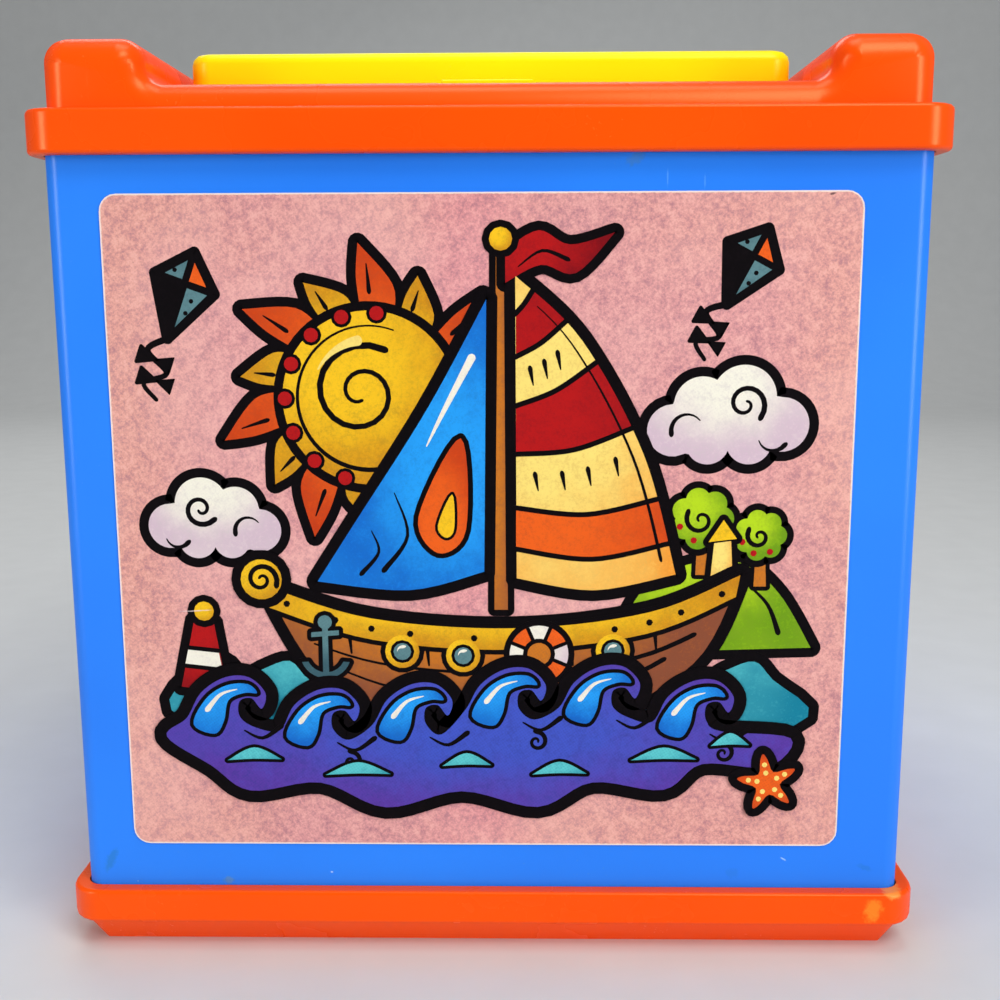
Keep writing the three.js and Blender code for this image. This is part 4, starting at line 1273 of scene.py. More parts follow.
def puffed(x: float, y: float, puffs: Sequence[tuple[float, float, float]], steps: int) -> list[Point]:
    """Return the outline round overlapping discs.

    Args:
        x: How far across a point inside them lies.
        y: How far up it lies.
        puffs: Each disc's place from that point and its radius.
        steps: How many points the outline has.

    Returns:
        The outline.
    """
    line = []
    for i in range(steps):
        way = Vector(spoke(0, 0, 1, 360 * i / steps))
        far = 0.0
        for px, py, radius in puffs:
            along = way.dot(Vector((px, py)))
            off = px * px + py * py - along * along
            if off < radius * radius:
                far = max(far, along + math.sqrt(radius * radius - off))
        line.append((x + way.x * far, y + way.y * far))
    return line


@dataclass(frozen=True)
class Tone:
    """Where an ink is plain and where it reaches its shade."""

    centre: Point = (0.0, 0.0)
    reach_x: float = 1e9
    reach_y: float = 1e9

    def at(self, x: float, y: float) -> Point:
        """Return the tone coordinates of a point."""
        return ((x - self.centre[0]) / self.reach_x, (y - self.centre[1]) / self.reach_y)


PLAIN = Tone()
THIN_START = (0.3, 1.0)
THIN_END = (1.0, 0.3)


@dataclass
class PrintedPicture:
    """The label's picture: a toy boat at sea, in outlined flat inks, each a thin raised layer.

    Its sizes are in millimetres from the label's middle.
    """

    centre: Vector
    outline: float = 1.5
    round_end: float = 0.72
    layer: float = 0.016
    hair: float = 0.0003
    verts: list[Vector] = field(default_factory=list)
    faces: list[tuple[int, ...]] = field(default_factory=list)
    inks: list[int] = field(default_factory=list)
    tones: list[Point] = field(default_factory=list)
    drawn: dict[float, int] = field(default_factory=dict)

    def build(self) -> None:
        """Draw the whole picture, back to front, and make it one piece."""
        self.draw_sun()
        self.draw_clouds()
        self.draw_island()
        self.draw_rig()
        self.draw_buoy()
        self.draw_hull()
        self.draw_sea()
        self.draw_kites()
        self.draw_starfish()
        mesh = bpy.data.meshes.new("label_picture")
        mesh.from_pydata(self.verts, [], self.faces)
        for ink in Inks:
            mesh.materials.append(ink.value.material)
        mesh.polygons.foreach_set("material_index", self.inks)
        layer = mesh.uv_layers.new(name="tone")
        for loop in mesh.loops:
            layer.data[loop.index].uv = self.tones[loop.vertex_index]
        mesh.update()
        add_piece("label_picture", mesh, "box", "label_paper")

    def _height(self, layer: float) -> float:
        """Return the height of a layer's next shape, a hair above its last one, so that none lie in one plane."""
        self.drawn[layer] = self.drawn.get(layer, 0) + 1
        return self.layer * (layer + 1) + self.hair * self.drawn[layer]

    def _vertex(self, x: float, y: float, height: float, tone: Tone = PLAIN) -> int:
        """Add a vertex at a place and a height, and return its number.

        Args:
            x: How far across it lies.
            y: How far up it lies.
            height: Its height.
            tone: Where its shape is shaded.

        Returns:
            The vertex's number.
        """
        self.verts.append(self.centre + Vector((x, -height, y)) * MM)
        self.tones.append(tone.at(x, y))
        return len(self.verts) - 1

    def _face(self, corners: Iterable[int], ink: Inks) -> None:
        """Add a face in an ink."""
        self.faces.append(tuple(corners))
        self.inks.append(list(Inks).index(ink))

    def fill(self, outline: Sequence[Point], ink: Inks, layer: float, tone: Tone = PLAIN) -> None:
        """Print a flat shape.

        Args:
            outline: Its outline.
            ink: Its ink.
            layer: How many layers up it lies.
            tone: Where it is shaded.
        """
        points = anticlockwise(outline)
        high = self._height(layer)
        upper, lower = ([self._vertex(x, y, height, tone) for x, y in points] for height in (high, 0.0))
        for triangle in tessellate_polygon([[Vector((x, y, 0)) for x, y in points]]):
            a, b, c = triangle if runs_left([points[i] for i in triangle]) else reversed(triangle)
            self._face((upper[a], upper[b], upper[c]), ink)
            self._face((lower[c], lower[b], lower[a]), ink)
        for i in range(len(points)):
            j = (i + 1) % len(points)
            self._face((upper[i], lower[i], lower[j], upper[j]), ink)

    def stroke(
        self,
        path: Sequence[Point],
        width: float,
        layer: float,
        closed: bool = False,
        ink: Inks = Inks.BLACK,
        taper: Point = (1.0, 1.0),
        inner: Optional[float] = None,
    ) -> None:
        """Draw a line with round corners and ends.

        Args:
            path: Its points.
            width: Its width to each side.
            layer: How many layers up it lies.
            closed: Whether it comes back to its start.
            ink: Its ink.
            taper: Its width at the start and the end, as shares of the width.
            inner: Its width on the left side, where that differs.
        """
        points = [Vector(p) for p in path]
        last = len(points) - 1
        ribs: list[tuple[Vector, Vector, float]] = []
        for i, spot in enumerate(points):
            came = (spot - points[i - 1] if closed or i else points[1] - spot).normalized()
            goes = (points[(i + 1) % len(points)] - spot).normalized() if closed or i < last else came
            share = taper[0] + (taper[1] - taper[0]) * i / last
            turn = came.angle_signed(goes, 0.0) if came.length and goes.length else 0.0
            pieces = max(1, math.ceil(abs(turn) / 0.5))
            for k in range(pieces):
                angle = math.atan2(came.y, came.x) - turn * (k + 0.5) / pieces
                ribs.append((spot, Vector((-math.sin(angle), math.cos(angle))), share))
        if not closed:
            ribs = self._round_end(ribs, 0) + ribs + self._round_end(ribs, -1)
        high = self._height(layer)
        left = width if inner is None else inner
        rings = []
        for spot, side, share in ribs:
            a, b = spot + side * left * share, spot - side * width * share
            corners = ((a, high), (b, high), (b, 0.0), (a, 0.0))
            rings.append([self._vertex(*place, height) for place, height in corners])
        for near, far in zip(rings, rings[1:] + (rings[:1] if closed else [])):
            for k in range(4):
                m = (k + 1) % 4
                self._face((near[k], near[m], far[m], far[k]), ink)
        if not closed:
            self._face(reversed(rings[0]), ink)
            self._face(rings[-1], ink)

    def _round_end(self, ribs: Sequence[tuple[Vector, Vector, float]], which: int) -> list:
        """Return the ribs of a line's round end, outermost first at its start and last at its end.

        Args:
            ribs: The line's ribs.
            which: The end: 0 for the first rib and -1 for the last.

        Returns:
            The end's ribs.
        """
        spot, side, share = ribs[which]
        along = Vector((side.y, -side.x)) * (-1 if which == 0 else 1) * self.round_end * share
        angles = [math.radians(a) for a in (25, 55, 80)]
        ends = [(spot + along * math.sin(a), side, share * math.cos(a)) for a in angles]
        return ends[::-1] if which == 0 else ends

    def outlined(
        self, outline: Sequence[Point], ink: Inks, layer: float, tone: Tone = PLAIN, width: Optional[float] = None
    ) -> None:
        """Print a shape with a black outline round it.

        Args:
            outline: The shape's outline.
            ink: Its ink.
            layer: How many layers up it lies.
            tone: Where it is shaded.
            width: The black line's width outwards, where it isn't the picture's own.
        """
        points = anticlockwise(outline)
        self.fill(points, Inks.BLACK, layer)
        self.stroke(points, self.outline if width is None else width, layer, closed=True, inner=0.25)
        self.fill(points, ink, layer + 1, tone)

    def disc(
        self,
        spot: Point,
        radius: float,
        ink: Inks,
        layer: float,
        tone: Tone = PLAIN,
        width: float = 1.2,
        sides: int = 12,
    ) -> None:
        """Print an outlined disc."""
        self.outlined(arc(*spot, radius, 0, 360 - 360 / sides, sides - 1), ink, layer, tone, width)

    def dot(self, spot: Point, radius: float, ink: Inks, layer: float) -> None:
        """Print a small dot."""
        self.fill(arc(*spot, radius, 0, 300, 6), ink, layer)

    def curl(
        self, x: float, y: float, radius: float, start: float, layer: float, turned: float = 1.5, width: float = 0.5
    ) -> None:
        """Draw a line that winds inwards, clockwise where it turns by a negative number.

        Args:
            x: How far across its middle lies.
            y: How far up its middle lies.
            radius: Its radius at the start.
            start: The angle at which it starts.
            layer: How many layers up it lies.
            turned: How many turns it makes.
            width: The line's width to each side.
        """
        steps = int(abs(turned) * 20)
        line = [spoke(x, y, radius * (1 - 0.84 * s), start + 360 * turned * s) for s in shares(steps)]
        self.stroke(line, width, layer, taper=(1.0, 0.5))

    def crease(self, points: Sequence[Point], width: float, layer: float, start: float = 0.3, steps: int = 5) -> None:
        """Draw a flowing line that starts thin."""
        self.stroke(flowing(points, steps=steps), width, layer, taper=(start, 1.0))

    def gleam(self, points: Sequence[Point], layer: float, ink: Inks = Inks.WHITE, width: float = 0.5) -> None:
        """Draw a short bright stroke that thins out at its end."""
        self.stroke(flowing(points, steps=6), width, layer, ink=ink, taper=(1.0, 0.15))

    def draw_sun(self) -> None:
        """Draw the low sun with its flickering rays behind the sails."""
        x, y, radius, count = -19.5, 24.0, 15.2, 14
        for i in range(count):
            turn = 360 / count * i + 6
            long, ink = (11.5, Inks.ORANGE) if i % 2 else (7.6, Inks.GOLD)
            corners = ((-1, -11), (long * 0.42, -6), (long, 10), (long * 0.5, 12), (-1, 11))
            left, back, tip, side, right = (spoke(x, y, radius + out, turn + a) for out, a in corners)
            ray = flowing([left, back, tip], steps=6) + flowing([tip, side, right], steps=6)[1:]
            self.outlined(ray, ink, 0, Tone((x, y), radius + long, radius + long), 1.7)
            line = [spoke(x, y, radius + long * r, turn + 5 + 3 * r) for r in (0.3, 0.5, 0.68)]
            self.stroke(line, 0.4, 2, taper=THIN_END)
        self.outlined(arc(x, y, radius, 0, 354, 58), Inks.GOLD, 3, Tone((x - 5, y + 6), 23, 23), 1.6)
        self.stroke(arc(x, y, radius - 2.6, 70, 290, 40), 0.45, 5, taper=THIN_START)
        self.curl(x - 1.5, y + 1, 8.6, 60, 5, 1.6, 0.6)
        self.gleam(arc(x, y, radius - 5.0, 100, 150, 6), 5, Inks.CREAM, 0.9)
        for turn in range(84, 253, 24):
            ink = Inks.RED if turn % 48 else Inks.CREAM
            self.disc(spoke(x, y, radius - 0.4, turn), 1.25, ink, 5, width=0.55)

    def draw_clouds(self) -> None:
        """Draw two puffed clouds, one at each side."""
        puffs = ((-9.4, -1.2, 4.6), (-4.4, 3.2, 5.0), (2.8, 4.6, 5.6), (9.4, -0.2, 4.8), (3.8, -3.2, 4.0))
        puffs += ((-3.4, -3.4, 3.8), (0, 0, 4.5))
        for x, y, scale, flip in ((43.0, 19.5, 1.0, 1), (-47.5, 1.5, 0.84, -1)):
            sized = [(flip * px * scale, py * scale, radius * scale) for px, py, radius in puffs]
            tone = Tone((x - 1, y + 7), 17 * scale, 13 * scale)
            self.outlined(puffed(x, y, sized, 110), Inks.WHITE, 0, tone, 1.7)
            self.curl(x + flip * 3.0 * scale, y + 3.4 * scale, 3.6 * scale, -40, 2, 1.25 * flip, 0.5)
            for px, py, radius, start, end, steps in ((-7.0, -1.2, 2.8, 40, 190, 10), (8.0, -2.2, 2.6, 200, 320, 8)):
                line = arc(x + flip * px * scale, y + py * scale, radius * scale, start, end, steps)
                self.stroke(line, 0.45, 2, taper=(0.25, 1.0))

    def draw_island(self) -> None:
        """Draw the green island with its round trees, far off at the right."""
        hill_line = [(24, -19), (29, -10), (37, -5.6), (46, -5.4), (53, -11), (59, -21)]
        self.outlined([*flowing(hill_line, steps=7), (24, -22)], Inks.LIME, 0, Tone((38, -4), 21, 16), 1.8)
        self.crease([(47, -9), (51, -13), (53, -18)], 0.5, 2)
        for x, y, radius in ((39.0, 2.6, 5.2), (49.4, -0.4, 4.3)):
            trunk = moved(x, y, ((-1.0, -radius - 5), (1.2, -radius - 5), (0.7, 0), (-0.7, 0)))
            self.outlined(trunk, Inks.BROWN, 1, width=0.8)
            ring = [(*spoke(0, 0, radius * 0.66, 360 * k / 7), radius * 0.42) for k in range(7)]
            crown = puffed(x, y, [*ring, (0, 0, radius * 0.8)], 84)
            self.outlined(crown, Inks.LIME, 3, Tone((x - 1.6, y + 2), radius * 1.4, radius * 1.4), 1.2)
            self.curl(x - 0.3, y - 0.2, radius * 0.5, 150, 5, 1.1, 0.45)
            for turn in (200, 250, 300):
                self.dot(spoke(x, y, radius * 0.8, turn), 0.6, Inks.RED, 5)

    def draw_rig(self) -> None:
        """Draw the mast, the two bellied sails and the pennant."""
        self.outlined([(2.2, -14), (4.6, -14), (4.3, 49), (2.7, 49)], Inks.BROWN, 4, Tone((2, 20), 4, 60), 1.2)
        self.draw_main_sail((6.0, 45.0), (34.5, -7.5))
        tack = (-29.5, -8.8)
        jib = flowing([(1.0, 41.0), (-9.5, 22), (-22.5, 2), tack], steps=8)
        jib += flowing([tack, (-13, -10.4), (0.4, -7.0)], steps=6)[1:]
        self.outlined(jib, Inks.CYAN, 5, Tone((-6, 12), 20, 30), 2.0)
        drop = flowing([(-3.6, 17), (-11.2, 3), (-7.8, -3.6), (-2.8, 0.6)], closed=True, steps=7)
        self.outlined(drop, Inks.ORANGE, 7, Tone((-7.4, 2), 8, 15), 0.9)
        seed = flowing([(-5.2, 7), (-7.8, 1.4), (-6.4, -0.8), (-4.9, 0.8)], closed=True, steps=5)
        self.outlined(seed, Inks.GOLD, 9, width=0.5)
        self.crease([(-15.4, 7.2), (-13.2, -0.4), (-17.4, -6.6)], 0.5, 7, 0.2, 6)
        self.crease([(-19.6, 0.4), (-18.4, -3.4), (-21.4, -7.2)], 0.45, 7, 0.2, 6)
        self.gleam([(-1.6, 31), (-6.6, 21.6), (-9.6, 15.6)], 7, width=0.7)
        pennant = flowing([(4.3, 49.4), (10, 52.6), (15.4, 50.2), (23, 52.2)], steps=6)
        pennant += flowing([(23, 52.2), (16.4, 45.4), (10.4, 46.8), (4.3, 43.8)], steps=6)[1:]
        self.outlined(pennant, Inks.RED, 5, Tone((6, 50), 18, 10), 1.6)
        self.crease([(6.6, 46.6), (10.6, 49.2), (14.8, 47.8)], 0.4, 7)
        self.disc((3.5, 51.2), 2.0, Inks.GOLD, 7, Tone((3, 52), 3, 3))

    def draw_main_sail(self, head: Point, leech: Point) -> None:
        """Draw the main sail with its bands and stitches, from its top corner and its far lower one.

        Args:
            head: Its top corner.
            leech: Its far lower corner.
        """
        belly = flowing([head, (17.5, 34), (28.5, 14), leech], steps=9)
        foot = flowing([leech, (20, -10.4), (6.2, -8.2)], steps=6)

        def place(share: float) -> int:
            """Return the number of the belly's point at a share of the height from the top."""
            return round(share * (len(belly) - 1))

        def across(share: float) -> list[Point]:
            """Return the line across the sail at a share of its height from the top."""
            outer = belly[place(share)]
            inner = (head[0] + 0.1, head[1] + (-8.2 - head[1]) * share)
            sag = ((inner[0] + outer[0]) / 2, (inner[1] + outer[1]) / 2 - 2.6 * share)
            return flowing([inner, sag, outer])

        self.outlined(belly + foot[1:], Inks.CREAM, 5, Tone((11, 22), 31, 44), 2.0)
        for low, high, ink in ((0.12, 0.26, Inks.RED), (0.42, 0.58, Inks.RED), (0.76, 0.9, Inks.ORANGE)):
            edge = belly[place(low) : place(high) + 1]
            self.fill(across(low)[:-1] + edge + across(high)[::-1][1:], ink, 7, Tone((8, 10), 34, 60))
            for share in (low, high):
                self.stroke(across(share), 0.46, 8)
        for share, start, end in ((0.34, 0.25, 0.75), (0.67, 0.2, 0.8)):
            line = across(share)
            first, last = (round(part * (len(line) - 1)) for part in (start, end))
            for spot in line[first:last:3]:
                self.stroke(moved(*spot, ((0, 1.0), (0.5, -1.6))), 0.42, 8, taper=THIN_END)
        self.stroke(moved(-1.9, -0.4, belly[5:-2]), 0.3, 9, taper=THIN_START)

    def draw_hull(self) -> None:
        """Draw the planked hull with its rail, portholes, life ring, anchor and lantern."""
        self.outlined([(40.6, -9), (44.6, -8), (44.2, -1.4), (41.2, -1.8)], Inks.CREAM, 7, Tone((42, -4), 4, 7), 1.1)
        self.outlined([(40.2, -1.6), (45.2, -1.0), (42.8, 2.4)], Inks.GOLD, 7, width=1.0)
        deck = flowing([(-39, -9.6), (-20, -15.6), (6, -17.4), (30, -14.4), (46, -7.6)], steps=7)
        keel = flowing([(46, -7.6), (38, -24), (18, -35), (-8, -36), (-28, -27.6), (-39, -9.6)], steps=7)
        self.outlined(deck + keel[1:-1], Inks.BROWN, 9, Tone((-4, -17), 40, 15), 2.2)
        rail = deck + [(x * 0.985, y - 4.0) for x, y in reversed(deck)]
        self.outlined(rail, Inks.GOLD, 11, Tone((0, -13), 52, 9), 0.9)
        for share in shares(12)[1:-1]:
            x, y = deck[round(share * (len(deck) - 1))]
            self.dot((x, y - 1.9), 0.62, Inks.BLACK, 13)
        for narrow, drop in ((0.93, 8.4), (0.8, 13.0)):
            self.stroke([(x * narrow, y - drop) for x, y in deck[3:-3]], 0.45, 11, taper=(0.4, 1.0))
        for x, y in ((-10, -22.5), (-24, -20.2), (16, -22.4), (31, -19.8), (1, -27)):
            self.stroke([(x, y + 1.5), (x + 0.3, y - 1.7)], 0.4, 11, taper=(1.0, 0.5))
        for x in (-14.5, -3.5, 23.5):
            y = -23.0 + abs(x - 3) * 0.07
            self.disc((x, y), 3.1, Inks.GOLD, 11, Tone((x - 1, y + 1), 5, 5), 0.9, 18)
            self.disc((x, y), 1.6, Inks.SLATE, 13, width=0.55)
            self.gleam(arc(x, y, 0.9, 90, 170, 4), 15, width=0.3)
        self.draw_life_ring(10.2, -22.2)
        self.draw_anchor(-28.4, -19.6)
        self.disc((-39.6, -8.4), 3.7, Inks.GOLD, 13, Tone((-41, -7), 6, 6), 1.7, 18)
        self.curl(-39.6, -8.4, 2.9, -20, 15, 1.4, 0.5)

    def draw_life_ring(self, x: float, y: float) -> None:
        """Draw the banded life ring that hangs on the hull.

        Args:
            x: How far across it hangs.
            y: How far up it hangs.
        """
        self.disc((x, y), 5.3, Inks.WHITE, 13, Tone((x - 2, y + 2), 9, 9), 1.1, 36)
        for turn in (45, 135, 225, 315):
            quarter = arc(x, y, 5.3, turn - 22, turn + 22, 8) + arc(x, y, 2.4, turn + 22, turn - 22, 8)
            self.fill(quarter, Inks.ORANGE, 15)
            for edge in (-22, 22):
                self.stroke([spoke(x, y, r, turn + edge) for r in (2.5, 5.2)], 0.34, 16)
        self.disc((x, y), 2.1, Inks.BROWN, 17, width=0.8, sides=18)

    def draw_anchor(self, x: float, y: float) -> None:
        """Draw the anchor at the bow.

        Args:
            x: How far across it hangs.
            y: How far up it hangs.
        """
        parts = (
            moved(x, y, ((-0.55, -6.4), (0.55, -6.4), (0.5, 2.4), (-0.5, 2.4))),
            moved(x, y, ((-2.5, 0.5), (2.5, 0.9), (2.5, 1.8), (-2.5, 1.4))),
            arc(x, y - 2.6, 4.6, 200, 340, 14) + arc(x, y - 2.6, 3.5, 335, 205, 14),
            arc(x, y + 3.3, 1.3, 0, 330, 11),
        )
        for part in parts:
            self.stroke(part, 0.8, 13, closed=True, inner=0.2)
        for part in parts:
            self.fill(part, Inks.SLATE, 15, Tone((x, y + 2), 6, 7))

    def draw_sea(self) -> None:
        """Draw the far swell, then the rolling sea with its curling crests in front of the hull."""
        far: list[Point] = [(-57, -33)]
        for x in range(-52, 56, 12):
            far += [(x, -25.2), (x + 5, -23.6), (x + 8.4, -27.0)]
        back = flowing([*far, (59, -34), (40, -40), (0, -42), (-40, -40)], closed=True, steps=4)
        self.outlined(back, Inks.TEAL, 2, Tone((0, -22), 70, 13), 1.9)
        rise = ((-6.2, -7.4), (-3.4, -2.6), (1.0, 0.3), (5.4, 0.4), (8.4, -2.6), (7.6, -5.6), (5.8, -3.6))
        rise += ((3.6, -4.2), (3.6, -7.2), (6.4, -9.2))
        crests = [(x, -27.0 - 2.4 * math.sin(i * 1.3)) for i, x in enumerate(range(-48, 38, 17))]
        sea: list[Point] = [(-58, -38)]
        for crest in crests:
            sea += moved(*crest, rise)
        sea += [(56, -38), (52, -43.5), (40, -43.0), (33, -48.0), (20, -46.6), (10, -51.4), (-4, -48.4)]
        sea += [(-18, -51.6), (-30, -46.8), (-43, -48.4), (-50, -43.6)]
        self.outlined(flowing(sea, closed=True, steps=6), Inks.BLUE, 19, Tone((0, -36), 58, 17), 2.3)
        patch = ((-5.0, -8.6), (-2.6, -3.8), (1.2, -1.2), (5.2, -0.9), (6.9, -2.6), (4.6, -2.6), (1.6, -4.0))
        patch += ((0.6, -8.0), (-1.2, -10.4))
        for i, (x, y) in enumerate(crests):
            foam = flowing(moved(x, y, patch), closed=True, steps=5)
            self.outlined(foam, Inks.CYAN, 21, Tone((x - 1, y - 2), 9, 9), 0.7)
            self.gleam(moved(x, y, ((-2.2, -5.6), (0.2, -2.9), (3.2, -1.9))), 23)
            self.crease(moved(x, y, ((4.4, -9.8), (7.6, -11.2), (11.0, -9.0))), 0.5, 21)
            if i % 2:
                self.curl(x + 6.8, y - 13.4, 1.9, 90, 21, -1.2, 0.45)
        swells = ((-42, -41.6, 10), (-23, -44.4, 12), (-3, -42.6, 9), (14, -44.2, 10), (33, -41.4, 12), (45, -38.6, 7))
        for x, y, long in swells:
            left, right = (x - long / 2, y - 0.9), (x + long / 2, y - 0.7)
            swell = flowing([left, (x, y + 1.6), right], steps=7)
            swell += flowing([right, (x, y - 0.6), left], steps=7)[1:-1]
            self.outlined(swell, Inks.TEAL, 21, Tone((x - 2, y + 1), long, 4), 0.6)

    def draw_kites(self) -> None:
        """Draw two small black kites with slate panels and curling tails."""
        for x, y, scale, lean in ((-51.5, 42.5, 1.04, -20), (46.0, 47.0, 0.96, -28)):
            turn = Matrix.Rotation(math.radians(lean), 2) * scale

            def place(*points: Point) -> list[Point]:
                """Return points of the kite turned and moved to its place."""
                return moved(x, y, (turn @ Vector(p) for p in points))

            body = place((0, -8.2), (5.2, 1.4), (0, 6.8), (-5.2, 1.4))
            self.fill(body, Inks.BLACK, 0)
            self.stroke(body, 1.0, 0, closed=True, inner=0.2)
            panels = (
                (Inks.SLATE, (0.6, -6.0), (4.1, 0.8), (0.6, 0.8)),
                (Inks.SLATE, (-0.6, 2.0), (-0.6, 5.2), (-3.6, 2.0)),
                (Inks.ORANGE, (0.6, 2.0), (3.6, 2.0), (0.6, 5.2)),
            )
            for ink, *corners in panels:
                self.fill(place(*corners), ink, 2, Tone((x, y), 12, 8))
            for spot in place((-2.2, 3.0), (1.9, -1.0), (1.6, -3.2)):
                self.dot(spot, 0.42, Inks.BLACK, 3)
            tail = flowing([(0, -8.2), (-2.6, -11.2), (1.6, -13.8), (-1.6, -16.6), (1.2, -18.6)], steps=6)
            self.stroke(place(*tail), 0.6, 0, taper=(1.0, 0.6))
            for bow in ((-0.9, -12.2), (0.2, -15.6)):
                for side in (-2.9, 2.9):
                    wing = place(bow, *moved(*bow, ((side, 1.3), (side, -1.4))))
                    self.fill(wing, Inks.BLACK, 1)
                    self.stroke(wing, 0.35, 1, closed=True, inner=0.1)

    def draw_buoy(self) -> None:
        """Draw the striped buoy that rides beside the boat."""
        x, y = -50.5, -19.5
        cone = moved(x, y, ((-4.4, -9), (4.0, -10), (2.0, 3.0), (-1.6, 3.4)))
        self.outlined(cone, Inks.RED, 5, Tone((x - 1, y), 7, 13), 1.7)
        lower, upper = ((-3.6, -5.0), (3.2, -5.8)), ((-2.8, -1.6), (2.6, -2.2))
        self.fill(moved(x, y, (*lower, *upper[::-1])), Inks.WHITE, 7)
        for edge in (lower, upper):
            self.stroke(moved(x, y, edge), 0.4, 8)
        self.disc((x + 0.3, y + 5.2), 1.8, Inks.GOLD, 7, Tone((x, y + 6), 3, 3))

    def draw_starfish(self) -> None:
        """Draw a starfish below the sea at the right."""
        spot = (52.0, -46.5)
        ray = ((5.6, 0), (4.4, 9), (2.3, 36), (4.4, 63))
        arms = [spoke(*spot, radius, 100 + 72 * k + turn) for k in range(5) for radius, turn in ray]
        self.outlined(flowing(arms, closed=True, steps=3), Inks.ORANGE, 27, Tone(spot, 7, 7), 1.6)
        for k in range(5):
            for radius in (1.9, 3.5):
                self.dot(spoke(*spot, radius, 100 + 72 * k), 0.5, Inks.CREAM, 29)


@dataclass(frozen=True)
class RefinedCopy:
    """A CAD moulding redone with its sharp edges broken and its rounds shaded smooth."""

    node: str
    body: str
    finish: Finish
    edge: float = 0.3 * MM
    segments: int = 2
    sharp: float = math.radians(38)

    def build(self) -> None:
        """Make the piece, which replaces its node."""
        bevel = {
            "width": self.edge,
            "segments": self.segments,
            "limit_method": "ANGLE",
            "angle_limit": self.sharp,
            "use_clamp_overlap": True,
            "miter_outer": "MITER_ARC",
        }
        shading = {"keep_sharp": False, "weight": 80}
        source = node_copy(self.node, self.finish, flattened=True)
        mesh = modified(source, ("BEVEL", bevel), ("WEIGHTED_NORMAL", shading))
        add_piece(self.node + "_finished", mesh, self.body, self.finish.name, self.node)


@dataclass
class Box:
    """The moulded box: base, walls, top frame, lid, catch and their fasteners."""

    catch_travel: float = 3 * MM
    catch_spare: float = 0.3 * MM

    def build(self) -> None:
        """Dress every piece of the box."""
        mouldings = (
            ("base_tray", "box", ORANGE_PLASTIC),
            ("box_shell", "box", BLUE_PLASTIC),
            ("top_frame", "box", ORANGE_PLASTIC),
            ("lid", "lid", YELLOW_PLASTIC),
            ("catch_slide", "catch", YELLOW_PLASTIC),
            ("catch_tray", "box", ORANGE_PLASTIC),
        )
        for node, body, finish in mouldings:
            RefinedCopy(node, body, finish).build()
        for node in ("hinge_pin_left", "hinge_pin_right", "spring_clip_1", "spring_clip_2", "spring_clip_3"):
            dress(node, STEEL)
        Fasteners().build()
        self.build_catch_spring()
        self.dress_label()

    def build_catch_spring(self) -> None:
        """Make the catch's spring from its CAD node, as a fixed shape, though the real one shortens as the thumb pulls
        the catch open.
        """
        piece = add_piece("catch_spring_wire", node_copy("catch_spring", STEEL), "box", "steel", "catch_spring")
        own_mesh(piece)

    def dress_label(self) -> None:
        """Give the label its paper and print its picture."""
        low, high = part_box("front_label")
        middle = (low + high) / 2
        half = ((high.x - low.x) / 2, (high.z - low.z) / 2)
        dress("front_label", LabelPaper("label_paper", middle, half))
        PrintedPicture(Vector((middle.x, low.y, middle.z))).build()


